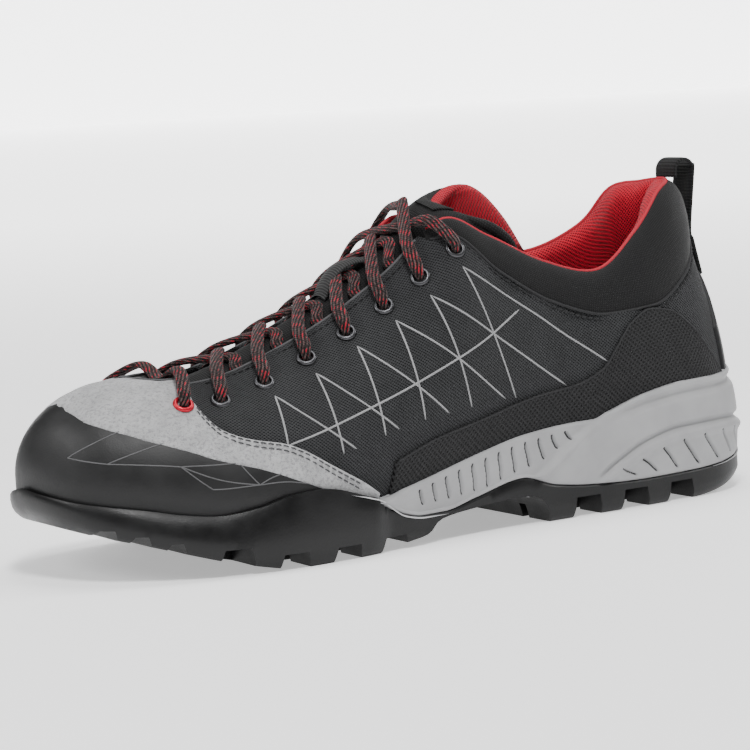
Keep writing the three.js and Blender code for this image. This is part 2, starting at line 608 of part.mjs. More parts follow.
const eyeletHoles = joined(
  eyeletPlaces.map(({ u, v }) => {
    const radius = EYELET_BARREL + GAP;
    const drill = new THREE.CylinderGeometry(radius, radius, DRILL_LENGTH, EYELET_SIDES);
    drill.rotateX(Math.PI / 2);
    return solid(drill.applyMatrix4(frameAt(u, v, 0)));
  }),
);

const upperHigh = (u) => (isClosed(u) ? 1 : levelAt(u, edge(COLLAR_SEAM, u)));
const upperSolid = wall({
  from: 0, to: RING, rows: 5, low: () => 0, high: upperHigh, inner: -WALL, outer: 0,
}).subtract(eyeletHoles);

// The toe band runs down inside the sole's cup. The other overlays end just above the sole.
const UNDER_EDGE = { drop: 5, above: 1 };
function underEdge(u) {
  const low = edge(SOLE_EDGE, u) - UNDER_EDGE.drop;
  return levelAt(u, Math.max(low, column("z", u) + UNDER_EDGE.above));
}
const aboveSole = (u) => levelAt(u, edge(SOLE_EDGE, u) + 3 * GAP);
const RAND_ENDS = 9.35;
const randSolid = wall({
  from: RAND_ENDS, to: RING - RAND_ENDS, rows: 4,
  low: underEdge, high: (u) => levelAt(u, edge(RAND_TOP, u)), inner: GAP, outer: GAP + RAND,
});
const SUEDE_ENDS = 8.45;
const SUEDE_CORNERS = [SUEDE_CORNER, RING - SUEDE_CORNER]; // columns of its own
const suedeLow = (u) => (mirrored(u) > RAND_ENDS ? levelAt(u, edge(RAND_TOP, u) + GAP) : aboveSole(u));
const suedeHigh = (u) => (isClosed(u) ? 1 : levelAt(u, edge(SUEDE_TOP, u)));
const suedeSolid = wall({
  from: SUEDE_ENDS, to: RING - SUEDE_ENDS, extra: SUEDE_CORNERS, rows: 4,
  low: suedeLow, high: suedeHigh, inner: SUEDE_SEAT, outer: SUEDE_SEAT + SUEDE,
}).subtract(eyeletHoles);

const panelSolid = (from, to) =>
  wall({
    from, to, rows: 3,
    low: aboveSole, high: (u) => levelAt(u, edge(PANEL_TOP, u)), inner: GAP, outer: GAP + PANEL,
  });
const PANEL_ENDS = [1.35, 8.25];
const BACKSTAY_END = 1.3;
const backstaySolid = wall({
  from: -BACKSTAY_END, to: BACKSTAY_END, rows: 4,
  low: aboveSole, high: (u) => levelAt(u, edge(BACKSTAY_TOP, u)), inner: GAP, outer: GAP + PANEL,
});

// The padded collar: a band above the collar seam, thick at the heel and thin at the throat.
const PAD = [[0, 9], [2, 8.5], [4, 7], [5.5, 5.5], [7.1, 3.2]];
const PAD_SECTION = [
  [0, 0], [0.3, -0.08], [0.7, -0.07], [0.93, 0.08], [1, 0.45], [0.93, 0.88], [0.6, 1], [0, 0.9],
];
function collarSolid() {
  const places = placesBetween(-COLLAR_END, COLLAR_END);
  const columns = places.length - 1;
  const m = PAD_SECTION.length;
  const points = places.flatMap((u) => {
    const thick = heightOn(PAD, mirrored(u), 1);
    const seam = levelAt(u, edge(COLLAR_SEAM, u) + GAP);
    return PAD_SECTION.map(([rise, deep]) => skin(u, seam + (1 - seam) * rise, -thick * deep));
  });
  const faces = [];
  for (let i = 0; i < columns; i++)
    for (let j = 0; j < m; j++) {
      const [a, b, c, d] = [i * m + j, i * m + ((j + 1) % m), (i + 1) * m + ((j + 1) % m), (i + 1) * m + j];
      faces.push([a, b, c], [a, c, d]);
    }
  const end = columns * m;
  for (let j = 1; j + 1 < m; j++) faces.push([0, j + 1, j], [end, end + j, end + j + 1]);
  return closed(points, faces);
}

// A sheet of the given thickness under a grid of points, whose rows run towards the heel and whose
// columns run from the outer side to the inner side.
function sheet(grid, thickness) {
  const [rows, n] = [grid.length, grid[0].length];
  const under = grid.map((row, k) =>
    row.map((p, j) => {
      const along = grid[Math.min(k + 1, rows - 1)][j].clone().sub(grid[Math.max(k - 1, 0)][j]);
      const across = row[Math.max(j - 1, 0)].clone().sub(row[Math.min(j + 1, n - 1)]);
      return p.clone().addScaledVector(along.cross(across).normalize(), thickness);
    }),
  );
  const base = rows * n;
  const end = (rows - 1) * n;
  const faces = [];
  const quad = (a, b, c, d) => faces.push([a, b, c], [a, c, d]);
  for (let k = 0; k + 1 < rows; k++) {
    for (let j = 0; j + 1 < n; j++) {
      const [a, b, c, d] = [k * n + j, k * n + j + 1, (k + 1) * n + j + 1, (k + 1) * n + j];
      quad(a, d, c, b);
      quad(base + a, base + b, base + c, base + d);
    }
    quad(k * n, base + k * n, base + (k + 1) * n, (k + 1) * n);
    quad(k * n + n - 1, (k + 1) * n + n - 1, base + (k + 1) * n + n - 1, base + k * n + n - 1);
  }
  for (let j = 0; j + 1 < n; j++) {
    quad(j, j + 1, base + j + 1, base + j);
    quad(end + j, base + end + j, base + end + j + 1, end + j + 1);
  }
  return closed([...grid.flat(), ...under.flat()], faces);
}

// The tongue lies under both edges of the throat and arches between them. s runs from 1 at its outer
// edge to -1 at its inner edge, and TUCKED is where it meets the edges of the throat.
const TONGUE_CLEAR = WALL + 4 * GAP;
const TUCKED = 0.72;
const TUCK_SHARE = 0.12; // how far it reaches down inside the upper
const RIDGE_RISE = [[7, 7], [8, 7.5], [9, 6.5], [10, 5.5], [11, 4], [12, 2.6], [12.85, 1.6]];
const TONGUE_FREE = 7.2; // from here to its top it stands free
const TONGUE_PLACES = [12.85, 12.3, 11.6, 10.8, 10, 9.2, 8.5, 7.9, TONGUE_FREE];
const RIDGE_STEP = 0.2; // in rows
function ridgeNormal(u) {
  const run = tonguePoint(u + RIDGE_STEP, 0).sub(tonguePoint(u - RIDGE_STEP, 0));
  return new THREE.Vector3(-run.z, 0, run.x).normalize();
}
function tonguePoint(u, s, lift = 0) {
  const depth = Math.abs(s);
  if (depth > TUCKED) {
    const v = 1 - (TUCK_SHARE * (depth - TUCKED)) / (1 - TUCKED);
    return skin(s > 0 ? u : RING - u, v, -TONGUE_CLEAR);
  }
  const p = skin(RING - u, 1, -TONGUE_CLEAR).lerp(skin(u, 1, -TONGUE_CLEAR), 0.5 + s / (2 * TUCKED));
  p.z += heightOn(RIDGE_RISE, u, 1) * (1 - (depth / TUCKED) ** 2);
  return lift > 0 ? p.addScaledVector(ridgeNormal(u), lift) : p;
}
// Its free top edge from the outer side to the inner side: shares of LENGTH, BALL_WIDTH and COLLAR_HEIGHT.
const TONGUE_EDGE = [
  [0.335, 0.16, 0.8], [0.352, 0.158, 0.87], [0.378, 0.15, 0.925], [0.405, 0.12, 0.955], [0.425, 0.06, 0.98],
  [0.425, 0, 0.998], [0.4, -0.06, 1.025], [0.372, -0.105, 1.04], [0.335, -0.135, 1.02], [0.295, -0.15, 0.94],
  [0.27, -0.155, 0.85],
];
const FREE_CROWN = 1.5; // how far the free part bows up
const FREE_STEPS = [0.35, 0.7, 1];
const TONGUE_HALF = (TONGUE_EDGE.length - 1) / 2;
const acrossTongue = (j) => (TONGUE_HALF - j) / TONGUE_HALF;
// Point of the free top, t of the way from the throat to the top edge, at column j.
function freePoint(t, j) {
  const [x, y, z] = TONGUE_EDGE[j];
  const top = new THREE.Vector3(xAt(x), y * BALL_WIDTH, z * COLLAR_HEIGHT);
  const crown = FREE_CROWN * Math.sin(Math.PI * t);
  return tonguePoint(TONGUE_FREE, acrossTongue(j)).lerp(top, t).addScaledVector(UP, crown);
}
function tongueSolid() {
  const columns = TONGUE_EDGE.map((_, j) => j);
  const grid = TONGUE_PLACES.map((u) => columns.map((j) => tonguePoint(u, acrossTongue(j))));
  for (const t of FREE_STEPS) grid.push(columns.map((j) => freePoint(t, j)));
  return sheet(grid, TONGUE);
}
// The patch at the top of the tongue: shares of the way up, and columns of the tongue.
const PATCH = { thickness: 0.9, steps: [0.3, 0.55, 0.8], columns: [3, 4, 5, 6] };
function patchSolid() {
  const lift = PATCH.thickness + 3 * GAP;
  const grid = PATCH.steps.map((t) => PATCH.columns.map((j) => freePoint(t, j).addScaledVector(UP, lift)));
  return sheet(grid, PATCH.thickness);
}
// A band of webbing on the ridge of the tongue, over one crossing of the lace.
const KEEPER = { from: 8.9, to: 8.05, half: 0.3, thickness: 1 };
function keeperSolid() {
  const over = STRAND_LIFT + STRAND_STEP + LACE_THICKNESS / 2 + KEEPER.thickness + 4 * GAP;
  const lifts = [KEEPER.thickness + 2 * GAP, over, over, over, KEEPER.thickness + 2 * GAP];
  const grid = lifts.map((lift, k) => {
    const u = KEEPER.from + ((KEEPER.to - KEEPER.from) * k) / (lifts.length - 1);
    return [1, 0, -1].map((side) => tonguePoint(u, side * KEEPER.half, lift));
  });
  return sheet(grid, KEEPER.thickness);
}

// The pull loop at the heel, seen from the side: up the back of the collar, over, and down onto its top.
const LOOP_FOOT = 0.685 * COLLAR_HEIGHT;
const LOOP_LEAVES = 0.84 * COLLAR_HEIGHT; // from here up it stands off the heel
function pullLoop() {
  const back = (z) => skin(0, levelAt(0, z), PANEL + 2 * GAP).x;
  const crest = skin(0, 1, 0);
  const radius = LOOP_RADIUS;
  const centre = new THREE.Vector2(crest.x - (radius - WEBBING), crest.z + LOOP_RISE - radius);
  const shape = new THREE.Shape();
  shape.moveTo(back(LOOP_FOOT), LOOP_FOOT);
  shape.lineTo(back(LOOP_LEAVES), LOOP_LEAVES);
  shape.lineTo(centre.x - radius + WEBBING, centre.y);
  shape.absarc(centre.x, centre.y, radius - WEBBING, Math.PI, 0, true);
  shape.lineTo(centre.x + radius - WEBBING, crest.z + 2 * GAP);
  shape.lineTo(centre.x + radius, crest.z + 2 * GAP);
  shape.lineTo(centre.x + radius, centre.y);
  shape.absarc(centre.x, centre.y, radius, 0, Math.PI, false);
  shape.lineTo(back(LOOP_LEAVES) - WEBBING, LOOP_LEAVES);
  shape.lineTo(back(LOOP_FOOT) - WEBBING, LOOP_FOOT);
  const settings = { depth: WEBBING_WIDTH, bevelEnabled: false, curveSegments: 6 };
  const geometry = new THREE.ExtrudeGeometry(shape, settings);
  geometry.rotateX(Math.PI / 2);
  geometry.translate(0, WEBBING_WIDTH / 2, 0);
  return solid(geometry);
}

const STRAND_LIFT = LACE_THICKNESS / 2 + 1.4; // middle of the lower strand above the tongue
const STRAND_STEP = 1.3; // from the lower strand to the upper one where they cross
const LACE_STEPS = 6;
const LACE_FLAT = 0.6; // share of the lace's width that is flat
// A flat lace along points, with a six-sided section whose flat side faces up.
function laceStrand(points, up) {
  const curve = new THREE.CatmullRomCurve3(points, false, "centripetal");
  const steps = LACE_STEPS;
  const [w, t] = [LACE_WIDTH / 2, LACE_THICKNESS / 2];
  const flat = LACE_FLAT * w;
  const section = [[w, 0], [flat, t], [-flat, t], [-w, 0], [-flat, -t], [flat, -t]];
  const rings = [];
  for (let k = 0; k <= steps; k++) {
    const run = curve.getTangentAt(k / steps);
    const across = run.clone().cross(up).normalize();
    const lift = across.clone().cross(run).normalize();
    const p = curve.getPointAt(k / steps);
    rings.push(section.map(([a, b]) => p.clone().addScaledVector(across, a).addScaledVector(lift, b)));
  }
  const m = section.length;
  const faces = [];
  for (let k = 0; k < steps; k++)
    for (let j = 0; j < m; j++) {
      const [a, b, c, d] = [k * m + j, k * m + ((j + 1) % m), (k + 1) * m + ((j + 1) % m), (k + 1) * m + j];
      faces.push([a, c, b], [a, d, c]);
    }
  for (let j = 1; j + 1 < m; j++) faces.push([0, j, j + 1], [steps * m, steps * m + j + 1, steps * m + j]);
  return closed(rings.flat(), faces);
}
// Middle of the lace above the cloth at an eyelet.
const LACE_REST = EYELET_RISE + 3.5 * GAP + LACE_THICKNESS / 2;
const overEyelet = (u, v) => skin(u, v, surfaceOffset(u) + LACE_REST);
const overEdge = (u) => skin(u, 1, surfaceOffset(u) + LACE_REST);

// The two strands that leave eyelet pair k, cross on the ridge and reach the next pair towards the heel.
// They dive beside the far edge of the throat, but the last two pass over it into their eyelets.
const DIVE = 0.32; // from the next eyelets towards the toe, in rows
const DIVE_SIDE = 0.62; // where a strand ends, on the tongue's scale from the ridge to its edge
function laceCross(k) {
  const [u, v] = EYELETS[k];
  const [next, nextV] = EYELETS[k + 1];
  const last = k + 2 === EYELETS.length;
  const strand = (side, lift) => {
    const [own, far] = side > 0 ? [u, RING - next] : [RING - u, next];
    const crossing = tonguePoint((u + next) / 2, 0, lift);
    const end = last
      ? [overEdge(far), overEyelet(far, nextV)]
      : [tonguePoint(next + DIVE, -side * DIVE_SIDE, STRAND_LIFT)];
    return laceStrand([overEyelet(own, v), overEdge(own), crossing, ...end], ridgeNormal((u + next) / 2));
  };
  return strand(1, STRAND_LIFT + STRAND_STEP).add(strand(-1, STRAND_LIFT));
}
const BAR_BOW = 0.12; // in rows, how far the bar over the throat bows to the toe
function laceBar() {
  const [u, v] = EYELETS[0];
  const bowed = u + BAR_BOW;
  const arch = tonguePoint(bowed, 0, STRAND_LIFT);
  const route = [overEyelet(u, v), overEdge(bowed), arch, overEdge(RING - bowed), overEyelet(RING - u, v)];
  return laceStrand(route, ridgeNormal(u));
}

// Meshes.
const shoe = new THREE.Group();
function add(name, shape, color, roughness) {
  let geometry = shape;
  if (!shape.isBufferGeometry) {
    const mesh = shape.getMesh();
    const all = new Float32Array(mesh.numVert * 3);
    for (let i = 0; i < mesh.numVert; i++)
      all.set(mesh.vertProperties.subarray(i * mesh.numProp, i * mesh.numProp + 3), i * 3);
    geometry = new THREE.BufferGeometry();
    geometry.setAttribute("position", new THREE.BufferAttribute(all, 3));
    geometry.setIndex(new THREE.BufferAttribute(mesh.triVerts, 1));
    geometry.computeVertexNormals();
  }
  const mesh = new THREE.Mesh(geometry, new THREE.MeshStandardMaterial({ color, roughness, metalness: 0 }));
  mesh.name = name;
  shoe.add(mesh);
}

const COLOR = {
  tread: 0x1c1c1d, foam: 0xa6a6a8, footbed: 0x8c1a22, mesh: 0x3a3b3d, rand: 0x222223, suede: 0xb9babb,
  panel: 0x242526, strip: 0x47484a, lining: 0x2b2c2e, patch: 0x1d1d1e, webbing: 0x3c3d3f, plug: 0x2a2b2d,
  steel: 0x5a5b5d, red: 0xc81e28, lace: 0x6b2a30,
};
const ROUGHNESS = { rubber: 0.55, foam: 0.7, cloth: 0.9, metal: 0.4 };
const [panelFrom, panelTo] = PANEL_ENDS;
add("outsole", outsoleSolid(), COLOR.tread, ROUGHNESS.rubber);
add("midsole", midsoleSolid, COLOR.foam, ROUGHNESS.foam);
add("insole", insoleSolid(), COLOR.footbed, ROUGHNESS.cloth);
add("upper", upperSolid, COLOR.mesh, ROUGHNESS.cloth);
add("toe_rand", randSolid, COLOR.rand, ROUGHNESS.rubber);
add("mudguard", suedeSolid, COLOR.suede, ROUGHNESS.cloth);
add("side_panel_outer", panelSolid(panelFrom, panelTo), COLOR.panel, ROUGHNESS.cloth);
add("side_panel_inner", panelSolid(RING - panelTo, RING - panelFrom), COLOR.panel, ROUGHNESS.cloth);
add("backstay", backstaySolid, COLOR.strip, ROUGHNESS.cloth);
add("collar_pad", collarSolid(), COLOR.lining, ROUGHNESS.cloth);
add("tongue", tongueSolid(), COLOR.lining, ROUGHNESS.cloth);
add("tongue_patch", patchSolid(), COLOR.patch, ROUGHNESS.foam);
add("lace_keeper", keeperSolid(), COLOR.webbing, ROUGHNESS.cloth);
add("heel_plug", plugBlock(0), COLOR.plug, ROUGHNESS.rubber);
add("pull_loop", pullLoop(), COLOR.webbing, ROUGHNESS.cloth);
for (const { name, u, v } of eyeletPlaces)
  add(name, eyeletGeometry(u, v), onSuede(u) ? COLOR.red : COLOR.steel, ROUGHNESS.metal);
add("lace_bar", laceBar(), COLOR.lace, ROUGHNESS.cloth);
for (let k = 1; k + 1 < EYELETS.length; k++)
  add(`lace_cross_${k}`, laceCross(k), COLOR.lace, ROUGHNESS.cloth);

export default shoe;
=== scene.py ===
import math
from functools import partial

import bmesh
import bpy
import numpy as np
from mathutils import Matrix, Vector


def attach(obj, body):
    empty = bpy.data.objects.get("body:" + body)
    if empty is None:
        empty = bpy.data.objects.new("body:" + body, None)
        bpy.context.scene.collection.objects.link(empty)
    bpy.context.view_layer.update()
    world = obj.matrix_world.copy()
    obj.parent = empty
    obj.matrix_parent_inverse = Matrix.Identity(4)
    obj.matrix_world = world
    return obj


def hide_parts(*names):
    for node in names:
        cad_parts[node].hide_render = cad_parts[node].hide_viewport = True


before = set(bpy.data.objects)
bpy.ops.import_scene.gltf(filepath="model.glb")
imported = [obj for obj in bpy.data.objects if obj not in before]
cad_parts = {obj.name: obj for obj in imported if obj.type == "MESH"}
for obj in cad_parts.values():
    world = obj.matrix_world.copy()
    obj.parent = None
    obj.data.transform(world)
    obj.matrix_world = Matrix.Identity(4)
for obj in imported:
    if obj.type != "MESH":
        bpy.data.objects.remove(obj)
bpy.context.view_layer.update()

# Driving sizes in millimetres, as in the part's source.
LENGTH = 289
BALL_WIDTH = 103
COLLAR_HEIGHT = 113
STACK = 25
HEEL_SETBACK = 64
LUG_DEPTH = 5
TREAD_BASE = 2.2
WALL = 2.4
RAND = 1.8
SUEDE = 1.3
PANEL = 1.0
LIP = 2
TONGUE = 3.6
INSOLE = 4
WEBBING = 1.4
WEBBING_WIDTH = 12
LOOP_RADIUS = 4.8
LOOP_RISE = 7.4
LACE_WIDTH = 4.6
LACE_THICKNESS = 2.4
EYELET_RADIUS = 3.6
EYELET_HOLE = 1.9
EYELET_RISE = 0.9
GAP = 0.3
SUEDE_SEAT = 0.9
METRE = 0.001  # one millimetre in metres

# Sections of the upper from the heel to the toe, as in the part's source: x, topX and soleX are shares
# of LENGTH; y, topY and soleY of BALL_WIDTH; z of STACK; topZ of COLLAR_HEIGHT; lean and fall are degrees.
COLUMNS = ["x", "y", "z", "topX", "topY", "topZ", "lean", "low", "fall", "high", "soleX", "soleY"]
OUTER_SIDE = [
    [0.03, 0, 1, 0.072, 0, 1.005, 14, 0.3, 88, 0.3, 0.013, 0],
    [0.052, 0.18, 1, 0.085, 0.095, 1, 14, 0.3, 86, 0.3, 0.035, 0.198],
    [0.105, 0.28, 1, 0.122, 0.17, 0.972, 14, 0.3, 80, 0.3, 0.085, 0.312],
    [0.178, 0.315, 1, 0.178, 0.224, 0.862, 13, 0.3, 74, 0.3, 0.172, 0.354],
    [0.256, 0.322, 0.98, 0.248, 0.262, 0.757, 12, 0.32, 72, 0.3, 0.256, 0.37],
    [0.338, 0.328, 0.97, 0.325, 0.252, 0.8, 12, 0.34, 68, 0.32, 0.34, 0.378],
    [0.422, 0.35, 0.94, 0.395, 0.218, 0.893, 13, 0.36, 60, 0.32, 0.425, 0.392],
    [0.505, 0.385, 0.86, 0.453, 0.172, 0.955, 14, 0.38, 50, 0.32, 0.508, 0.416],
    [0.585, 0.42, 0.76, 0.528, 0.135, 0.806, 14, 0.4, 42, 0.34, 0.588, 0.45],
    [0.664, 0.442, 0.68, 0.606, 0.126, 0.69, 15, 0.42, 38, 0.36, 0.667, 0.487],
    [0.742, 0.442, 0.68, 0.686, 0.124, 0.604, 15, 0.44, 34, 0.4, 0.747, 0.5],
    [0.82, 0.41, 0.78, 0.763, 0.13, 0.546, 13, 0.46, 24, 0.42, 0.826, 0.472],
    [0.893, 0.328, 0.96, 0.826, 0.105, 0.536, 9, 0.52, 12, 0.46, 0.898, 0.39],
    [0.953, 0.19, 1.1, 0.862, 0, 0.545, 8, 0.58, 4, 0.52, 0.951, 0.235],
    [0.979, -0.02, 1.2, 0.885, -0.01, 0.535, 8, 0.62, 3, 0.54, 0.978, -0.03],
]
INNER_SIDE = [
    [0.052, -0.17, 1, 0.085, -0.095, 1, 14, 0.3, 86, 0.3, 0.035, -0.193],
    [0.11, -0.257, 1, 0.12, -0.182, 0.985, 14, 0.3, 80, 0.3, 0.092, -0.295],
    [0.19, -0.278, 1, 0.162, -0.24, 0.87, 12, 0.3, 76, 0.3, 0.186, -0.322],
    [0.277, -0.27, 1, 0.24, -0.258, 0.8, 10, 0.32, 72, 0.3, 0.277, -0.32],
    [0.365, -0.273, 0.98, 0.325, -0.248, 0.83, 10, 0.34, 68, 0.32, 0.367, -0.316],
    [0.455, -0.293, 0.94, 0.395, -0.215, 0.9, 11, 0.36, 60, 0.32, 0.458, -0.34],
    [0.54, -0.335, 0.86, 0.453, -0.17, 0.955, 13, 0.38, 50, 0.32, 0.544, -0.384],
    [0.624, -0.383, 0.76, 0.528, -0.135, 0.806, 14, 0.4, 42, 0.34, 0.63, -0.44],
    [0.706, -0.414, 0.68, 0.606, -0.126, 0.69, 14, 0.42, 38, 0.36, 0.713, -0.478],
    [0.785, -0.412, 0.7, 0.686, -0.124, 0.604, 13, 0.44, 34, 0.4, 0.796, -0.478],
    [0.864, -0.378, 0.86, 0.763, -0.13, 0.546, 12, 0.46, 24, 0.42, 0.872, -0.444],
    [0.931, -0.3, 1.04, 0.826, -0.115, 0.536, 9, 0.52, 12, 0.46, 0.938, -0.36],
    [0.968, -0.17, 1.16, 0.862, -0.01, 0.545, 8, 0.58, 4, 0.52, 0.967, -0.195],
]
TABLE = np.array(OUTER_SIDE + INNER_SIDE[::-1])
TOE_ROW = len(OUTER_SIDE) - 1
RING = 2 * TOE_ROW
CLOSED_ROW = TOE_ROW - 1
SCALE = {
    "x": LENGTH, "topX": LENGTH, "soleX": LENGTH,
    "y": BALL_WIDTH, "topY": BALL_WIDTH, "soleY": BALL_WIDTH,
    "z": STACK, "topZ": COLLAR_HEIGHT,
}

# Heights of seams and edges: pairs of a place, counted in rows from the heel, and a share of COLLAR_HEIGHT.
COLLAR_SEAM = [
    [0, 0.835], [1, 0.8], [2, 0.71], [3, 0.625], [4, 0.615], [5, 0.67], [6, 0.78], [7, 0.905], [7.34, 0.893],
    [7.5, 0.92],
]
COLLAR_END = 7 + 1 / 3
PANEL_TOP = [
    [1.35, 0.36], [1.9, 0.47], [2.3, 0.555], [2.7, 0.605], [3.15, 0.618], [3.6, 0.58], [3.9, 0.522],
    [4.25, 0.452], [4.75, 0.415], [5.5, 0.398], [6.6, 0.354], [7.5, 0.318], [8.25, 0.265],
]
BACKSTAY_TOP = [[0, 0.72], [0.5, 0.7], [0.9, 0.62], [1.3, 0.52]]
SUEDE_TOP = [
    [8.35, 0.17], [8.7, 0.212], [9.3, 0.274], [10.1, 0.354], [10.6, 0.375], [11, 0.405], [11.2, 0.435],
    [11.4, 0.475], [11.5, 0.5], [11.66, 1],
]
RAND_TOP = [
    [9.35, 0.215], [9.9, 0.257], [10.5, 0.301], [11.1, 0.336], [11.7, 0.38], [12.35, 0.418], [12.9, 0.45],
    [13.4, 0.483], [14, 0.503],
]
SOLE_EDGE = [
    [0, 0.407], [1.5, 0.381], [2.7, 0.378], [3.4, 0.36], [4.2, 0.315], [4.45, 0.297], [4.85, 0.296],
    [5.7, 0.283], [6.6, 0.248], [7.5, 0.204], [8, 0.181], [8.4, 0.162], [8.6, 0.172], [9, 0.196],
    [9.3, 0.214], [9.6, 0.222], [10, 0.217], [10.5, 0.191], [11, 0.179], [11.5, 0.19], [12, 0.21],
    [12.5, 0.225], [13, 0.24], [13.5, 0.257], [14, 0.274],
]
PARTING = [
    [0, 0.142], [0.8, 0.128], [1.6, 0.106], [2.7, 0.09], [3.6, 0.088], [4.6, 0.098], [5.2, 0.115],
    [5.75, 0.15], [6.6, 0.115], [7.2, 0.09], [7.6, 0.09], [7.9, 0.102], [8.4, 0.145],
]
CUP_START = 8.4
TREAD_LINE = [
    [0, 0.085], [0.025, 0.06], [0.066, 0.026], [0.1, 0.008], [0.135, 0], [0.72, 0], [0.755, 0.006],
    [0.78, 0.018], [0.824, 0.045], [0.87, 0.08], [0.91, 0.111], [0.955, 0.143], [0.99, 0.177], [1, 0.19],
]
ARCH = [
    [0.362, -0.03], [0.37, 0.045], [0.385, 0.085], [0.42, 0.093], [0.475, 0.086], [0.53, 0.07],
    [0.552, 0.032], [0.594, 0.012], [0.62, -0.03],
]
UP = np.array([0.0, 0.0, 1.0])
TINY = 1e-6
SLOPE_STEP = 1e-3  # step in place or share over which a slope is measured
HALVINGS = 22


def unit(vectors):
    return vectors / np.maximum(np.linalg.norm(vectors, axis=-1, keepdims=True), TINY**2)


def outer_place(u):
    return u


def inner_place(u):
    return RING - u


SIDES = {"outer": outer_place, "inner": inner_place}


def mirrored(u):
    """Places of both sides as places on the outer side."""
    place = np.mod(u, RING)
    return np.where(place > TOE_ROW, RING - place, place)


def closed(u):
    """Where both sides of the upper meet in one ridge, over the toes."""
    return mirrored(u) >= CLOSED_ROW - TINY


def x_at(share):
    """Where a share of the length, measured from the back of the sole, lies along the shoe."""
    return share * LENGTH - HEEL_SETBACK


def eased(a, b, c, d, f):
    """The value f of the way from b to c, on a smooth curve through all four."""
    square, cube = 2 * a - 5 * b + 4 * c - d, 3 * b - a - 3 * c + d
    return 0.5 * (2 * b + (c - a) * f + square * f**2 + cube * f**3)


def column(name, u):
    """One column of the table at the places u, on a smooth closed curve through the rows."""
    place = np.mod(np.asarray(u, float), RING)
    row = np.floor(place).astype(int)
    near = [TABLE[(row + k) % RING, COLUMNS.index(name)] for k in (-1, 0, 1, 2)]
    size = eased(*near, place - row) * SCALE.get(name, 1)
    return size - HEEL_SETBACK if name.lower().endswith("x") else size


def smooth_list(points, place, scale=COLLAR_HEIGHT):
    """Heights of an edge list at the given places, on a curve that keeps each rise and fall of the list."""
    x, y = np.array(points, float).T
    y = y * scale
    step, slope = np.diff(x), np.diff(y) / np.diff(x)
    both = slope[:-1] * slope[1:]
    inner = np.where(both > 0, 2 * both / (slope[:-1] + slope[1:] + TINY**2), 0)
    tangent = np.concatenate([[slope[0]], inner, [slope[-1]]])
    place = np.clip(place, x[0], x[-1])
    k = np.clip(np.searchsorted(x, place, side="right") - 1, 0, len(step) - 1)
    t, h = (place - x[k]) / step[k], step[k]
    return (
        (1 + 2 * t) * (1 - t) ** 2 * y[k] + t * (1 - t) ** 2 * h * tangent[k]
        + t**2 * (3 - 2 * t) * y[k + 1] + t**2 * (t - 1) * h * tangent[k + 1]
    )


def edge(points, u):
    return smooth_list(points, mirrored(u))


def tread_at(x):
    return smooth_list(TREAD_LINE, (x + HEEL_SETBACK) / LENGTH)


def points_of(*columns):
    return np.stack(np.broadcast_arrays(*columns), axis=-1)


def top_point(u):
    other = RING - np.mod(u, RING)
    own, mate = [points_of(column("topX", w), column("topY", w), column("topZ", w)) for w in (u, other)]
    return np.where(closed(u)[..., None], (own + mate) / 2, own)


def outward(u, x="x", y="y"):
    """Level direction that leaves the outline x, y at the places u."""
    dx = column(x, u + SLOPE_STEP) - column(x, u - SLOPE_STEP)
    dy = column(y, u + SLOPE_STEP) - column(y, u - SLOPE_STEP)
    return unit(points_of(-dy, dx, 0 * dx))


def sole_out(u):
    return outward(u, "soleX", "soleY")


def sole_point(u, z):
    return points_of(column("soleX", u), column("soleY", u), z)


def controls(u):
    """The four points that shape the upper's side at the places u, from its bottom edge to its top edge."""
    u = np.asarray(u, float)
    bottom = points_of(column("x", u), column("y", u), column("z", u))
    top = top_point(u)
    out = outward(u)
    along = points_of(out[..., 1], -out[..., 0], 0 * u)
    height = top[..., 2] - bottom[..., 2]
    drift = along * ((top - bottom) * along).sum(-1, keepdims=True) / 3
    lean, fall = np.radians(column("lean", u)), np.radians(column("fall", u))
    low, high = height * column("low", u), height * column("high", u)
    first = bottom + out * (np.sin(lean) * low)[..., None] + UP * (np.cos(lean) * low)[..., None] + drift
    last = top + out * (np.cos(fall) * high)[..., None] - UP * (np.sin(fall) * high)[..., None] - drift
    return bottom, first, last, top


def along_curve(a, b, c, d, w):
    return (1 - w) ** 3 * a + 3 * w * (1 - w) ** 2 * b + 3 * w**2 * (1 - w) * c + w**3 * d


def upper_point(u, v):
    """Outside of the upper at places u and shares v of the way from its bottom edge to its top edge."""
    return along_curve(*controls(u), np.asarray(v, float)[..., None])


def upper_normal(u, v):
    w = np.clip(v, SLOPE_STEP, 1 - SLOPE_STEP)
    across = upper_point(u + SLOPE_STEP, w) - upper_point(u - SLOPE_STEP, w)
    rise = upper_point(u, w + SLOPE_STEP) - upper_point(u, w - SLOPE_STEP)
    return unit(np.cross(rise, across))


def skin(u, v, offset=0.0):
    """The upper's outside moved out by offset. On the closed ridge both sides share one normal."""
    u, v, offset = np.broadcast_arrays(*[np.asarray(values, float) for values in (u, v, offset)])
    normal = upper_normal(u, v)
    ridge = ((v > 1 - TINY) & closed(u))[..., None]
    normal = np.where(ridge, unit(normal + upper_normal(RING - np.mod(u, RING), v)), normal)
    return upper_point(u, v) + normal * offset[..., None]


def level_at(u, z):
    """Share v at which the upper is z high at the places u."""
    heights = [point[..., 2] for point in controls(u)]
    target = np.asarray(z, float) + 0 * heights[0]
    low, high = 0 * target, 0 * target + 1
    for _ in range(HALVINGS):
        middle = (low + high) / 2
        below = along_curve(*heights, middle) < target
        low, high = np.where(below, middle, low), np.where(below, high, middle)
    return np.where(low > 1 - 100 * TINY, 1.0, low)


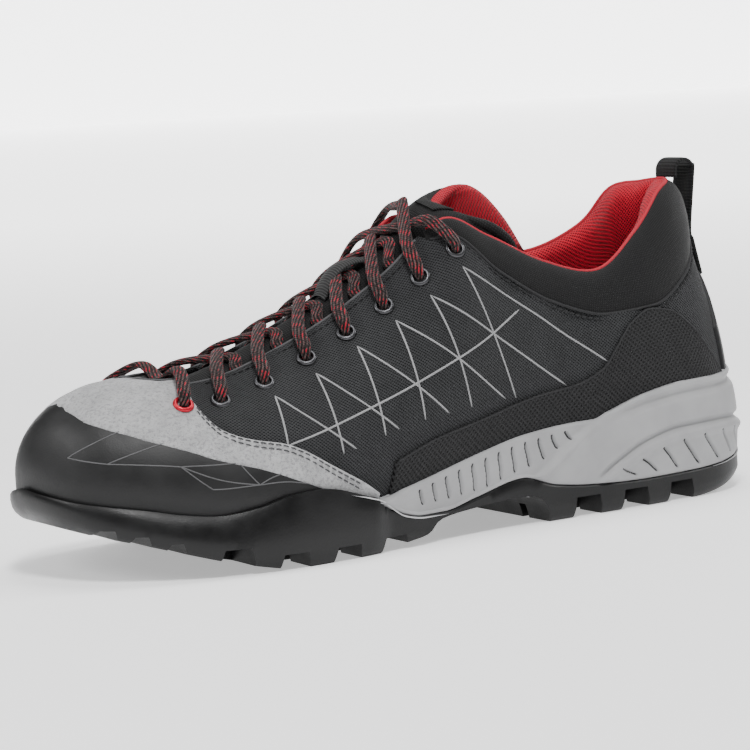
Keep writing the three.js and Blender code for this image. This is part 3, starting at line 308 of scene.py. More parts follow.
def sole_side(u, low, high, cover, share, bulge):
    """Side of the sole at the places u, share of the way from its outline at low to its lip at high."""
    bottom = sole_point(u, low)
    top = skin(u, level_at(u, high), cover + LIP)
    top[..., 2] = high
    share = np.asarray(share)[..., None]
    return bottom + (top - bottom) * share + sole_out(u) * bulge * np.sin(np.pi * share)


def side_place(x, z, turn):
    """Place and share of the point of the upper's side that is x along and z high."""
    x, z = np.broadcast_arrays(np.asarray(x, float), np.asarray(z, float))
    low, high = np.full(x.shape, 0.5), np.full(x.shape, TOE_ROW - 0.5)
    for _ in range(HALVINGS):
        middle = (low + high) / 2
        u = turn(middle)
        behind = upper_point(u, level_at(u, z))[..., 0] < x
        low, high = np.where(behind, middle, low), np.where(behind, high, middle)
    return turn(low), level_at(turn(low), z)


# Meshes.
WELD = 0.01


def new_object(name, data):
    made = bpy.data.objects.new(name, data)
    bpy.context.scene.collection.objects.link(made)
    return made


def stack_faces(rings, flat_ends=False):
    """Faces between rings of points and over both ends: one face each, or strips from side to side."""
    count, n = rings.shape[:2]
    index = np.arange(count * n).reshape(count, n)
    after = np.roll(index, -1, axis=1)
    sides = np.stack([index[:-1], after[:-1], after[1:], index[1:]], axis=-1).reshape(-1, 4).tolist()
    if flat_ends:
        return sides + [index[0, ::-1].tolist(), index[-1].tolist()]
    i = np.arange(n // 2)
    cap = np.stack([i, i + 1, (n - i - 1) % n, (n - i) % n], axis=-1)
    return sides + cap[:, ::-1].tolist() + (cap + (count - 1) * n).tolist()


def clean(mesh, weld, triangles=False):
    """Joins points that lie within weld metres of each other and turns the faces out."""
    work = bmesh.new()
    work.from_mesh(mesh)
    bmesh.ops.remove_doubles(work, verts=work.verts, dist=weld)
    if triangles:
        bmesh.ops.triangulate(work, faces=work.faces)
    bmesh.ops.recalc_face_normals(work, faces=work.faces)
    work.to_mesh(mesh)
    work.free()


class Form:
    """Grids of points in millimetres that become one smooth mesh, with texture coordinates in millimetres."""

    def __init__(self):
        self.points, self.maps, self.faces, self.slots, self.count = [], [], [], [], 0

    def add(self, points, faces, coordinates, slot=0):
        self.points.append(points.reshape(-1, 3))
        self.maps.append(coordinates.reshape(-1, 2))
        self.faces += (np.array(faces) + self.count).tolist()
        self.slots += [slot] * len(faces)
        self.count += len(self.points[-1])
        return self

    def grid(self, points, slot=0):
        n, m = points.shape[:2]
        index = np.arange(n * m).reshape(n, m)
        corners = [index[:-1, :-1], index[1:, :-1], index[1:, 1:], index[:-1, 1:]]
        return self.add(points, np.stack(corners, axis=-1).reshape(-1, 4), lengths(points), slot)

    def stack(self, rings):
        """Closed rings of points, each running heel, outer side, toe, inner side, closed below and above."""
        around = np.concatenate([rings, rings[:, :1]], axis=1)
        return self.add(rings, stack_faces(rings), lengths(around)[:, :-1])

    def piece(self, name, slot, materials, replaces=()):
        mesh = bpy.data.meshes.new(name)
        mesh.from_pydata((np.concatenate(self.points) * METRE).tolist(), [], self.faces)
        corner = np.zeros(len(mesh.loops), int)
        mesh.loops.foreach_get("vertex_index", corner)
        layer = mesh.uv_layers.new(name="millimetres")
        layer.data.foreach_set("uv", np.concatenate(self.maps)[corner].astype(np.float32).ravel())
        for material in materials:
            mesh.materials.append(material)
        mesh.polygons.foreach_set("material_index", self.slots)
        clean(mesh, WELD * METRE)
        mesh.shade_smooth()
        thing = new_object(name, mesh)
        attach(thing, "root")
        if replaces:
            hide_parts(*replaces)
        return thing


def lengths(points):
    """Texture coordinates of a grid: how far each point lies along its two directions, in millimetres."""
    along = np.linalg.norm(np.diff(points, axis=0), axis=-1).mean(axis=1)
    across = np.linalg.norm(np.diff(points, axis=1), axis=-1)
    first = np.concatenate([[0], np.cumsum(along)])
    second = np.concatenate([np.zeros((len(points), 1)), np.cumsum(across, axis=1)], axis=1)
    return np.stack([np.broadcast_to(first[:, None], second.shape), second], axis=-1)


def spline(points, t):
    """Points on a smooth curve through the given ones, t running from 0 to their count less one."""
    p = np.asarray(points, float)
    p = np.concatenate([2 * p[:1] - p[1:2], p, 2 * p[-1:] - p[-2:-1]])
    k = np.clip(np.floor(t).astype(int), 0, len(p) - 4)
    return eased(p[k], p[k + 1], p[k + 2], p[k + 3], (t - k)[..., None])


def smooth_line(points, count):
    return spline(points, np.linspace(0, len(points) - 1, count))


def travelled(line):
    """How far along a line each of its points lies."""
    return np.concatenate([[0], np.cumsum(np.linalg.norm(np.diff(line, axis=0), axis=1))])


def read_off(at, places, rows):
    """The rows that belong to places, read at the places at."""
    return np.stack([np.interp(at, places, rows[:, k]) for k in range(3)], axis=1)


def resampled(line, step):
    """The same line with points one step apart, and how far along it each one lies."""
    away = travelled(line)
    at = np.linspace(0, away[-1], max(int(round(away[-1] / step)), 2) + 1)
    return read_off(at, away, line), at


def sweep(form, line, up, width, thickness, sides=12, power=1.0):
    """A band or tube along a line. width and thickness are half sizes, and a power below 1 squares it."""
    run = unit(np.gradient(line, axis=0))
    across = unit(np.cross(run, up))
    lift = unit(np.cross(across, run))
    angle = np.linspace(0, 2 * np.pi, sides + 1)
    c, s = [np.sign(w) * np.abs(w) ** power for w in (np.cos(angle), np.sin(angle))]
    width, thickness = [np.broadcast_to(half, (len(line),))[:, None, None] for half in (width, thickness)]
    rings = line[:, None] + across[:, None] * c[:, None] * width + lift[:, None] * s[:, None] * thickness
    ends = [np.repeat(line[k][None, None], sides + 1, axis=1) for k in (0, -1)]
    return form.grid(np.concatenate([ends[0], rings, ends[1]]))


STITCH = {"length": 1.7, "gap": 0.9, "radius": 0.26, "rise": 1.5, "sunk": 0.4}


def stitches(form, line, up):
    """A row of stitches along a line that lies on the cloth: each one rises from the cloth and dips back."""
    radius = STITCH["radius"]
    fine, at = resampled(line, 0.25)
    ups = read_off(at / at[-1] * (len(line) - 1), np.arange(len(line)), up)
    rings = np.linspace(0, 1, 6)
    rise = radius * (np.sin(np.pi * rings) * STITCH["rise"] - STITCH["sunk"])
    pitch = STITCH["length"] + STITCH["gap"]
    for start in np.arange(int(at[-1] / pitch)) * pitch:
        place = start + STITCH["length"] * rings
        normal = unit(read_off(place, at, ups))
        sweep(form, read_off(place, at, fine) + normal * rise[:, None], normal, radius, radius, 6)


# Materials. Colours are linear, and patterns use the texture coordinates, which are in millimetres.
class Look:
    """A material with its nodes."""

    def __init__(self, name, color, roughness, specular=0.4, sheen=0.0, sheen_tint=(1, 1, 1), metallic=0.0):
        self.material = bpy.data.materials.new(name)
        self.material.use_nodes = True
        self.tree = self.material.node_tree
        self.shader = self.tree.nodes["Principled BSDF"]
        settings = {
            "Base Color": (*color, 1), "Roughness": roughness, "Specular IOR Level": specular,
            "Sheen Weight": sheen, "Sheen Tint": (*sheen_tint, 1), "Sheen Roughness": 0.45,
            "Metallic": metallic,
        }
        for key, value in settings.items():
            self.shader.inputs[key].default_value = value

    def node(self, kind, inputs, output=0, **settings):
        made = self.tree.nodes.new(kind)
        for key, value in settings.items():
            setattr(made, key, value)
        for key, value in inputs.items():
            if isinstance(value, bpy.types.NodeSocket):
                self.tree.links.new(value, made.inputs[key])
            else:
                made.inputs[key].default_value = value
        return made.outputs[output]

    def join(self, value, name):
        self.tree.links.new(value, self.shader.inputs[name])
        return value

    def maths(self, operation, a, b=0.0, c=0.0):
        return self.node("ShaderNodeMath", {0: a, 1: b, 2: c}, operation=operation)

    def times(self, a, b):
        return self.maths("MULTIPLY", a, b)

    def place(self):
        """The two texture coordinates, in millimetres."""
        both = self.node("ShaderNodeUVMap", {})
        first = self.node("ShaderNodeSeparateXYZ", {0: both})
        return first, first.node.outputs[1]

    def wave(self, value, pitch):
        """A sine between 0 and 1 that repeats after one pitch."""
        sine = self.maths("SINE", self.times(value, 2 * math.pi / pitch))
        return self.maths("MULTIPLY_ADD", sine, 0.5, 0.5)

    def noise(self, size, detail=3.0, rough=0.55):
        """Noise with patches of the given size in millimetres."""
        where = self.node("ShaderNodeTexCoord", {}, output="Object")
        inputs = {"Vector": where, "Scale": 1 / (size * METRE), "Detail": detail, "Roughness": rough}
        return self.node("ShaderNodeTexNoise", inputs)

    def band(self, value, low, high, to_low=0.0, to_high=1.0):
        inputs = {0: value, 1: low, 2: high, 3: to_low, 4: to_high}
        return self.node("ShaderNodeMapRange", inputs, interpolation_type="SMOOTHSTEP")

    def tint(self, share, low, high):
        """Base colour between two colours, of which the first may come from another tint."""
        low = (*low, 1) if isinstance(low, tuple) else low
        mixed = self.node("ShaderNodeMix", {0: share, 6: low, 7: (*high, 1)}, output=2, data_type="RGBA")
        return self.join(mixed, "Base Color")

    def relief(self, height, depth, strength=1.0, **under):
        """Bumps of the given depth in millimetres."""
        inputs = {"Height": height, "Distance": depth * METRE, "Strength": strength, **under}
        return self.join(self.node("ShaderNodeBump", inputs), "Normal")


def woven(name, dark, light, pitch, depth, sheen=0.06, specular=0.2, roughness=0.85, stretch=1.0):
    """A net of threads round small holes, in staggered rows."""
    look = Look(name, dark, roughness, specular, sheen)
    x, y = look.place()
    y = look.times(y, stretch)
    one, other = [look.wave(look.maths(way, x, y), pitch) for way in ("ADD", "SUBTRACT")]
    hole = look.times(one, other)
    thread = look.maths("SUBTRACT", 1.0, hole)
    fuzz, worn = look.noise(0.5), look.noise(9.0)
    share = look.times(look.band(thread, 0.25, 0.95), look.band(fuzz, 0.25, 0.6, 0.6, 1.0))
    look.tint(look.times(share, look.band(worn, 0.3, 0.7, 0.85, 1.05)), dark, light)
    look.relief(look.maths("ADD", thread, look.times(fuzz, 0.3)), depth)
    return look.material


def suede_look():
    look = Look("suede", (0.4, 0.4, 0.405), 0.95, 0.1, 0.35, (0.9, 0.9, 0.92))
    nap, patches, grain = look.noise(0.35, 4), look.noise(7, 4, 0.6), look.noise(1.1, 5, 0.7)
    mixed = look.tint(look.band(patches, 0.3, 0.72), (0.38, 0.38, 0.385), (0.47, 0.47, 0.475))
    look.tint(look.band(grain, 0.46, 0.64, 0.0, 0.75), mixed, (0.23, 0.23, 0.235))
    look.relief(nap, 0.4, 0.9, Normal=look.relief(grain, 0.5, 0.9))
    return look.material


def rubber_look(name, color, roughness, specular):
    look = Look(name, color, roughness, specular)
    grain, dust = look.noise(0.6, 4), look.noise(14, 4, 0.6)
    look.tint(look.band(dust, 0.35, 0.75), color, tuple(c * 1.7 for c in color))
    look.join(look.band(dust, 0.3, 0.7, roughness - 0.06, roughness + 0.1), "Roughness")
    look.relief(grain, 0.12, 0.5)
    return look.material


def foam_look():
    look = Look("midsole foam", (0.33, 0.33, 0.335), 0.55, 0.4)
    pores, marks = look.noise(0.5, 5, 0.7), look.noise(16, 3)
    look.tint(look.band(marks, 0.3, 0.7), (0.31, 0.31, 0.315), (0.35, 0.35, 0.355))
    look.relief(pores, 0.09, 0.6)
    return look.material


def knit_look(name, dark, light, pitch, depth):
    """Fine stretch cloth with ribs."""
    look = Look(name, dark, 0.8, 0.25, 0.1)
    x, y = look.place()
    rib = look.wave(x, pitch)
    height = look.times(rib, look.wave(look.maths("ADD", y, look.times(rib, 0.4)), pitch))
    look.tint(height, dark, light)
    look.relief(height, depth, 0.8)
    return look.material


def webbing_look(name, dark, light, pitch=1.15):
    look = Look(name, dark, 0.75, 0.25, 0.08)
    x, y = look.place()
    ridge = look.wave(x, pitch)
    thread = look.wave(look.maths("ADD", y, look.times(ridge, 0.5)), pitch * 0.8)
    height = look.times(ridge, look.band(thread, 0, 1, 0.6, 1.0))
    look.tint(height, dark, light)
    look.relief(height, 0.25, 0.9)
    return look.material


def lace_look():
    """A flat braid: strands that run nearly along the lace, with red flecks between them. The pale colour on
    the strands, broken up, is a painted highlight on their crests.
    """
    look = Look("lace", (0.03, 0.03, 0.032), 0.8, 0.2, 0.12)
    x, y = look.place()
    strand = look.wave(look.maths("ADD", y, look.times(x, 0.24)), 1.2)
    turn = look.wave(look.maths("ADD", x, look.times(y, 1.9)), 2.6)
    broken = look.band(look.noise(1.1, 3, 0.6), 0.4, 0.6, 0.12, 1.0)
    # pale: painted highlight on the raised strands, broken up by noise
    pale = look.times(look.band(strand, 0.25, 0.95), broken)
    base = look.tint(pale, (0.005, 0.0035, 0.0035), (0.11, 0.066, 0.062))
    fleck = look.times(look.band(turn, 0.5, 0.8), look.band(strand, 0.3, 0.65))
    look.tint(look.times(fleck, look.band(look.noise(1.6), 0.47, 0.56)), base, (0.43, 0.012, 0.03))
    twist = look.wave(look.maths("SUBTRACT", x, y), 1.1)
    look.relief(look.maths("ADD", strand, look.times(twist, 0.35)), 0.45, 0.9)
    return look.material


def metal_look(name, color, roughness, metallic=1.0):
    look = Look(name, color, roughness, 0.5, metallic=metallic)
    look.relief(look.noise(0.8, 3), 0.05, 0.4)
    return look.material


def plain_look(name, color, roughness):
    look = Look(name, color, roughness, 0.3, 0.04)
    look.relief(look.noise(0.4, 4), 0.08, 0.7)
    return look.material


CHARCOAL = woven("upper mesh", (0.001, 0.001, 0.0011), (0.037, 0.038, 0.04), 1.5, 0.45, stretch=1.25)
PANEL_MESH = woven(
    "side mesh", (0.0004, 0.0004, 0.0004), (0.017, 0.017, 0.018), 2.1, 0.9,
    sheen=0.0, specular=0.26, roughness=0.6,
)
LINING = woven("red lining", (0.09, 0.001, 0.004), (0.58, 0.008, 0.028), 1.45, 0.35, sheen=0.12)
SUEDE_NAP = suede_look()
RAND_RUBBER = rubber_look("rand rubber", (0.0055, 0.0055, 0.0058), 0.48, 0.45)
TREAD_RUBBER = rubber_look("tread rubber", (0.004, 0.004, 0.0042), 0.38, 0.32)
FOAM = foam_look()
STRETCH = knit_look("collar cloth", (0.0015, 0.0015, 0.0016), (0.0085, 0.0085, 0.009), 0.8, 0.14)
TONGUE_FACE = knit_look("tongue face", (0.0015, 0.0015, 0.0016), (0.009, 0.009, 0.0095), 1.0, 0.2)
STRIP = plain_look("heel strip", (0.012, 0.012, 0.013), 0.6)
WEBBING_BLACK = webbing_look("webbing", (0.002, 0.002, 0.002), (0.012, 0.012, 0.0125))
WEBBING_DARK = webbing_look("keeper webbing", (0.008, 0.008, 0.008), (0.05, 0.05, 0.051), 1.0)
LACE = lace_look()
GUNMETAL = metal_look("gunmetal", (0.085, 0.085, 0.09), 0.38)
RED_METAL = metal_look("red metal", (0.5, 0.012, 0.03), 0.35, 0.6)
GREY_THREAD = plain_look("grey thread", (0.075, 0.075, 0.078), 0.8)
DARK_THREAD = plain_look("dark thread", (0.02, 0.02, 0.021), 0.8)
RED_THREAD = plain_look("red thread", (0.42, 0.015, 0.03), 0.75)
PALE_LINE = plain_look("pale line", (0.27, 0.27, 0.275), 0.6)
FACET_LINE = plain_look("facet line", (0.1, 0.1, 0.103), 0.5)
SILVER = metal_look("silver line", (0.5, 0.5, 0.51), 0.35, 0.4)
# painted shade: the dark grey of the strips laid in the foam's slits
SLIT_SHADE = plain_look("painted shade in the slits", (0.055, 0.055, 0.056), 0.8)
# painted shade: the near-black colour of the discs inside the eyelet holes
EYELET_SHADE = plain_look("painted shade in an eyelet", (0.003, 0.003, 0.003), 0.9)
PATCH_CLOTH = webbing_look("patch", (0.004, 0.004, 0.004), (0.016, 0.016, 0.016), 0.7)
PLUG_RUBBER = plain_look("plug", (0.02, 0.02, 0.021), 0.5)


# The upper: mesh outside, red lining inside and a rolled edge between them.
STEPS_PER_ROW = 12
ROW_LENGTH = 22  # rough distance between two rows
RIM_STEP = 0.02  # share of the side over which a direction near its rim is read


def ring_places(start=0.0, end=RING, per_row=STEPS_PER_ROW):
    return np.linspace(start, end, int(round((end - start) * per_row)) + 1)


def rounded(share):
    """A quarter of a circle: rises from 0 to 1 as share does, steep at first and then level."""
    return np.sqrt(1 - (1 - np.clip(share, 0, 1)) ** 2)


def share_of(points, u):
    """Share of the upper's side at which an edge list lies."""
    return level_at(u, edge(points, u))


def rim_share(points, u):
    return np.where(closed(u), 1.0, share_of(points, u))


rand_top, panel_top = partial(share_of, RAND_TOP), partial(share_of, PANEL_TOP)
backstay_top = partial(share_of, BACKSTAY_TOP)
upper_high, suede_high = partial(rim_share, COLLAR_SEAM), partial(rim_share, SUEDE_TOP)


def softness(u, v):
    """Shallow waves in the cloth: under the collar, along the throat and where the toes bend the shoe."""
    m = mirrored(u)
    near_collar = np.exp(-(((m - 4.3) / 1.6) ** 2)) * np.clip((v - 0.35) / 0.3, 0, 1)
    bend = np.exp(-(((m - 10.2) / 1.1) ** 2)) * np.clip((v - 0.45) / 0.3, 0, 1)
    wave = np.sin(m * 4.1 + v * 7 + 0.4 * np.sin(u * 2.3))
    slow = np.sin(u * 1.7 + v * 3.1) * np.sin(v * np.pi)
    return 0.5 * near_collar * wave + 0.28 * bend * np.sin(m * 7.5 + v * 2) + 0.3 * slow * (m < 11)


def make_upper():
    u = ring_places()[:, None]
    high = upper_high(u)
    v = high * np.linspace(0, 1, 44)[None]
    form = Form().grid(skin(u, v, softness(u, v))).grid(skin(u, v, -WALL), slot=1)
    angle = np.linspace(0, np.pi, 9)[None]
    climb = unit(upper_point(u, high) - upper_point(u, high - RIM_STEP))
    rim = skin(u, high + 0 * angle, -WALL / 2 * (1 - np.cos(angle)) * ~closed(u))
    form.grid(rim + climb * (np.sin(angle) * WALL / 2 * ~closed(u))[..., None])
    form.piece("upper_shell", "mesh", [CHARCOAL, LINING], ["upper"])


# Overlays lie on the upper with rolled edges.
EDGE_EASE = np.array([0, 0.04, 0.12, 0.25, 0.45, 0.7, 1])
RAND_ENDS = 9.35
SKIRT = 6.0  # how far the toe band goes down behind the edge of the sole
SUEDE_ENDS = 8.45
PANEL_ENDS = [1.35, 8.25]
BACKSTAY_END = 1.3


def edge_steps(count, reach, roll):
    """Shares across a strip that is reach millimetres wide, closer together inside its rolled edges."""
    ease = EDGE_EASE * roll / max(reach, 3 * roll)
    return np.concatenate([ease, np.linspace(ease[-1], 1 - ease[-1], count)[1:-1], 1 - ease[::-1]])


def overlay(start, end, low, high, rise, roll, rows, extra=None, per_row=STEPS_PER_ROW):
    """A sheet on the upper, from place start to end and edge low to high, that stands out by rise."""
    span = end - start
    u = start + span * edge_steps(int(span * per_row), span * ROW_LENGTH, roll)[:, None]
    a, b = low(u), high(u)
    size = np.linalg.norm(upper_point(u, b) - upper_point(u, a), axis=-1)
    share = edge_steps(rows, float(np.median(size)), roll)[None]
    v = a + (b - a) * share
    near = np.where(closed(u) & (b > 1 - TINY), share, np.minimum(share, 1 - share)) * size
    near = np.minimum(near, np.minimum(u - start, end - u) * ROW_LENGTH) / roll
    offset = rise * rounded(near)
    if extra is not None:
        offset = offset + extra(u, v) * np.clip(near, 0, 1)
    return skin(u, v, offset)


def above_sole(u):
    return level_at(u, edge(SOLE_EDGE, u) - 2)


def under_edge(u):
    return level_at(u, np.maximum(edge(SOLE_EDGE, u) - 5, column("z", u) + 1))


def suede_low(u):
    return np.where(mirrored(u) > RAND_ENDS, level_at(u, edge(RAND_TOP, u) - 1.5), above_sole(u))


def dimples(u, v):
    return 0.16 * np.sin(u * 9.1 + v * 5) * np.sin(v * 13 + u * 3)


def make_overlays():
    band = overlay(RAND_ENDS, RING - RAND_ENDS, under_edge, rand_top, GAP + RAND, roll=1.3, rows=22)
    band = band[:, len(EDGE_EASE):]
    drop = np.linspace(SKIRT, 0.5, 5)[None, :, None]
    band = np.concatenate([band[:, :1] - UP * drop, band], axis=1)
    Form().grid(band).piece("toe_band", "rand_rubber", [RAND_RUBBER], ["toe_rand"])
    suede = overlay(
        SUEDE_ENDS, RING - SUEDE_ENDS, suede_low, suede_high, SUEDE_SEAT + SUEDE,
        roll=1.0, rows=26, extra=dimples, per_row=18,
    )
    Form().grid(suede).piece("suede_guard", "suede", [SUEDE_NAP], ["mudguard"])
    for name, turn in SIDES.items():
        start, end = sorted(turn(place) for place in PANEL_ENDS)
        panel = overlay(start, end, above_sole, panel_top, GAP + PANEL, roll=0.9, rows=18)
        Form().grid(panel).piece("panel_" + name, "side_mesh", [PANEL_MESH], ["side_panel_" + name])
    strip = overlay(-BACKSTAY_END, BACKSTAY_END, above_sole, backstay_top, GAP + PANEL, roll=0.9, rows=16)
    Form().grid(strip).piece("heel_strip", "heel_strip", [STRIP], ["backstay"])


# The padded collar, red mesh inside and stretch cloth outside, with a red piping at the crest.
PAD = [[0, 9.5], [1, 12.5], [1.9, 13], [2.9, 10], [4, 7.2], [5.5, 5.5], [7.1, 3.2]]
PAD_SECTION = [
    [0, 0], [0.15, -0.09], [0.4, -0.15], [0.7, -0.12], [0.9, 0.02], [0.985, 0.2], [1, 0.45], [0.97, 0.7],
    [0.85, 0.93], [0.6, 1.02], [0.3, 0.98], [0, 0.85], [-0.12, 0.4],
]
PAD_TURN = 5.4  # where the section changes from the outer cloth to the lining
PAD_END = {"thin": 0.55, "reach": 0.35}  # thickness at the collar's end, and rows over which it grows


def pad_point(u, t):
    section = spline(PAD_SECTION, t)
    seam = share_of(COLLAR_SEAM, u)
    full = rounded((COLLAR_END - mirrored(u)) / PAD_END["reach"])
    thick = smooth_list(PAD, mirrored(u), 1) * (PAD_END["thin"] + (1 - PAD_END["thin"]) * full)
    return skin(u, np.clip(seam + (1 - seam) * section[..., 0], 0, 1), -thick * section[..., 1])


def make_collar():
    u = ring_places(-COLLAR_END, COLLAR_END)[:, None]
    outside = np.linspace(0, PAD_TURN, 30)[None]
    inside = np.linspace(PAD_TURN, len(PAD_SECTION) - 1, 34)[None]
    form = Form().grid(pad_point(u, outside)).grid(pad_point(u, inside), slot=1)
    pad = form.piece("collar", "collar_cloth", [STRETCH, LINING], ["collar_pad"])
    places = ring_places(-COLLAR_END + 0.05, COLLAR_END - 0.05)
    line, centre = [pad_point(places, np.full(places.shape, t)) for t in (PAD_TURN, PAD_TURN + 3)]
    piping = sweep(Form(), line, unit(line - centre), 0.75, 0.75, 10)
    piping.piece("collar_piping", "collar_cloth", [RED_THREAD])
    seam = share_of(COLLAR_SEAM, places)
    cord = sweep(Form(), skin(places, seam, 0.15), upper_normal(places, seam), 0.55, 0.5, 8)
    cord.piece("collar_seam", "collar_cloth", [DARK_THREAD])


# The tongue, as in the part's source, on smooth curves.
TONGUE_CLEAR = WALL + 4 * GAP
TUCKED = 0.72
TUCK_SHARE = 0.12
RIDGE_RISE = [[7, 7], [8, 7.5], [9, 6.5], [10, 5.5], [11, 4], [12, 2.6], [12.85, 1.6]]
TONGUE_FREE = 7.2
TONGUE_START = 12.85
TONGUE_EDGE = [
    [0.335, 0.16, 0.8], [0.352, 0.158, 0.87], [0.378, 0.15, 0.925], [0.405, 0.12, 0.955], [0.425, 0.06, 0.98],
    [0.425, 0, 0.998], [0.4, -0.06, 1.025], [0.372, -0.105, 1.04], [0.335, -0.135, 1.02],
    [0.295, -0.15, 0.925], [0.262, -0.158, 0.8],
]
LAST_COLUMN = len(TONGUE_EDGE) - 1
FREE_CROWN = 1.5
ROLL = {"width": 1.7, "thickness": 2.1, "cord": 0.8}  # half sizes of the tongue's rolled edge


def tongue_point(u, s):
    """Point of the tongue's top side at place u; s runs from 1, its outer side, to -1, its inner side."""
    u, s = np.broadcast_arrays(np.asarray(u, float), np.asarray(s, float))
    depth = np.abs(s)
    side = np.where(s > 0, u, RING - u)
    tucked = skin(side, 1 - TUCK_SHARE * np.clip(depth - TUCKED, 0, 1) / (1 - TUCKED), -TONGUE_CLEAR)
    near, far = skin(u, 1, -TONGUE_CLEAR), skin(RING - u, 1, -TONGUE_CLEAR)
    arch = far + (near - far) * (0.5 + s / (2 * TUCKED))[..., None]
    arch[..., 2] += smooth_list(RIDGE_RISE, u, 1) * np.clip(1 - (depth / TUCKED) ** 2, 0, 1)
    return np.where((depth > TUCKED)[..., None], tucked, arch)


def ridge_normal(u):
    run = tongue_point(u + 0.2, 0) - tongue_point(u - 0.2, 0)
    return unit(points_of(-run[..., 2], 0 * run[..., 0], run[..., 0]))


def lifted(u, s, lift):
    return tongue_point(u, s) + ridge_normal(np.asarray(u, float)) * np.asarray(lift)[..., None]


def side_of(j):
    return 1 - 2 * j / LAST_COLUMN


def free_point(t, j):
    """Point of the tongue's free top, t of the way to its edge, at column j from the outer side."""
    x, y, z = np.moveaxis(spline(TONGUE_EDGE, j), -1, 0)
    top = points_of(x_at(x), y * BALL_WIDTH, z * COLLAR_HEIGHT)
    root = tongue_point(TONGUE_FREE, side_of(j))
    t = np.asarray(t, float)[..., None]
    return root + (top - root) * t + UP * FREE_CROWN * np.sin(np.pi * t)


def sheet_of(top, thickness, round_share, lining=0):
    """A soft sheet under a grid of points, with round edges. Rows run to the heel, columns inwards."""
    down = unit(np.cross(np.gradient(top, axis=0), -np.gradient(top, axis=1)))
    i, j = [np.linspace(0, 1, count) for count in top.shape[:2]]
    near = np.minimum(np.minimum(j, 1 - j)[None], (1 - i[:, None]) * 0.8)
    half = (thickness / 2 * rounded(near / round_share))[..., None]
    middle = top + down * thickness / 2
    return Form().grid(middle - down * half).grid(middle + down * half, lining)


def make_tongue():
    j = np.linspace(0, LAST_COLUMN, 81)[None]
    laced = tongue_point(np.linspace(TONGUE_START, TONGUE_FREE, 60)[:-1, None], side_of(j))
    grid = np.concatenate([laced, free_point(np.linspace(0, 1, 22)[:, None], j)])
    form = sheet_of(grid, TONGUE, 0.05, lining=1)
    pad = form.piece("tongue_body", "tongue_cloth", [TONGUE_FACE, LINING], ["tongue"])
    j = np.linspace(0.3, LAST_COLUMN - 0.3, 80)
    rim, inner = [free_point(np.full(j.shape, t), j) for t in (0.985, 0.8)]
    away = unit(rim - inner)
    ends = np.clip(np.minimum(j - 0.2, LAST_COLUMN - 0.2 - j) / 0.9, 0.15, 1)
    half = LAST_COLUMN / 2
    for name, part, cloth in (("roll", j < half + 0.1, TONGUE_FACE), ("fold", j > half - 0.2, LINING)):
        line, width = (rim - UP * TONGUE / 2)[part], ends[part]
        roll = sweep(Form(), line, away[part], ROLL["width"] * width, ROLL["thickness"] * width, 14)
        roll.piece("tongue_" + name, "tongue_cloth", [cloth])
    line = rim - UP * (TONGUE / 2 + 1.4) + away * 0.9
    cord = sweep(Form(), line, away, ROLL["cord"] * ends, ROLL["cord"] * ends, 10)
    cord.piece("tongue_cord", "tongue_cloth", [RED_THREAD])


PATCH = {"thickness": 0.9, "from": 0.26, "to": 0.76, "first": 3.0, "last": 5.2}


def make_patch():
    t = np.linspace(PATCH["from"], PATCH["to"], 24)[:, None]
    j = np.linspace(PATCH["first"], PATCH["last"], 30)[None]
    top = free_point(t, j) + UP * (PATCH["thickness"] + 0.1)
    sheet_of(top, PATCH["thickness"], 0.05).piece("tongue_label", "patch", [PATCH_CLOTH], ["tongue_patch"])


# Laces, eyelets and the keeper on the tongue.
EYELETS = [
    [11.6, 0.7], [10.97, 0.76], [10.24, 0.8], [9.52, 0.83], [8.84, 0.84], [8.18, 0.84], [7.57, 0.83],
    [6.92, 0.845],
]
EYELET_PROFILE = [  # distance from the middle of the eyelet and height above the cloth
    [EYELET_RADIUS, 0], [EYELET_RADIUS - 0.02, 0.35], [EYELET_RADIUS - 0.25, 0.75],
    [EYELET_RADIUS - 0.7, 1.0], [EYELET_RADIUS - 1.2, 0.95], [EYELET_HOLE + 0.2, 0.6], [EYELET_HOLE, 0],
    [EYELET_HOLE, -1.6],
]
SUEDE_CORNER = 11.5
STRAND_LIFT = LACE_THICKNESS / 2 + 0.3
STRAND_STEP = 1.9
LACE_REST = EYELET_RISE + 3.5 * GAP + LACE_THICKNESS / 2
LACE_ENTRY = {"deep": 2.2, "out": 0.6, "flat": 3.0}  # how a lace leaves an eyelet
DIVE = 0.32
DIVE_SIDE = 0.62
BAR_BOW = 0.12
KEEPER = {"from": 8.9, "to": 8.05, "half": 0.3, "thickness": 1.0}


def over(u, v, lift):
    """Point above the cloth or the suede at place u, and the direction that leaves it."""
    u, v = np.float64(u), np.float64(v)
    base = SUEDE + SUEDE_SEAT if mirrored(u) > SUEDE_CORNER else 0.0
    return skin(u, v, base + lift), upper_normal(u, min(v, 0.99))


def make_eyelets():
    angle = np.linspace(0, 2 * np.pi, 41)[:, None]
    r, z = np.moveaxis(smooth_line(EYELET_PROFILE, 26)[:, None, None], -1, 0)
    for k, (u, v) in enumerate(EYELETS):
        slot, metal = ("eyelet", GUNMETAL) if k else ("eyelet_red", RED_METAL)
        for side, turn in SIDES.items():
            centre, out = over(turn(u), v, 0.0)
            along = unit(upper_point(turn(u) + SLOPE_STEP, v) - upper_point(turn(u) - SLOPE_STEP, v))
            level = along * np.cos(angle) + np.cross(out, along) * np.sin(angle)
            ring = Form().grid(centre + level * r + out * z)
            ring.piece(f"ring_{side}_{k + 1}", slot, [metal], [f"eyelet_{side}_{k + 1}"])
            # A dark disc under each eyelet's opening: painted shade inside the hole.
            disc = np.stack([centre + 0 * level, centre + level * (EYELET_HOLE + 0.1)]) - out * 0.5
            Form().grid(disc).piece(f"hole_shade_{side}_{k + 1}", slot, [EYELET_SHADE])


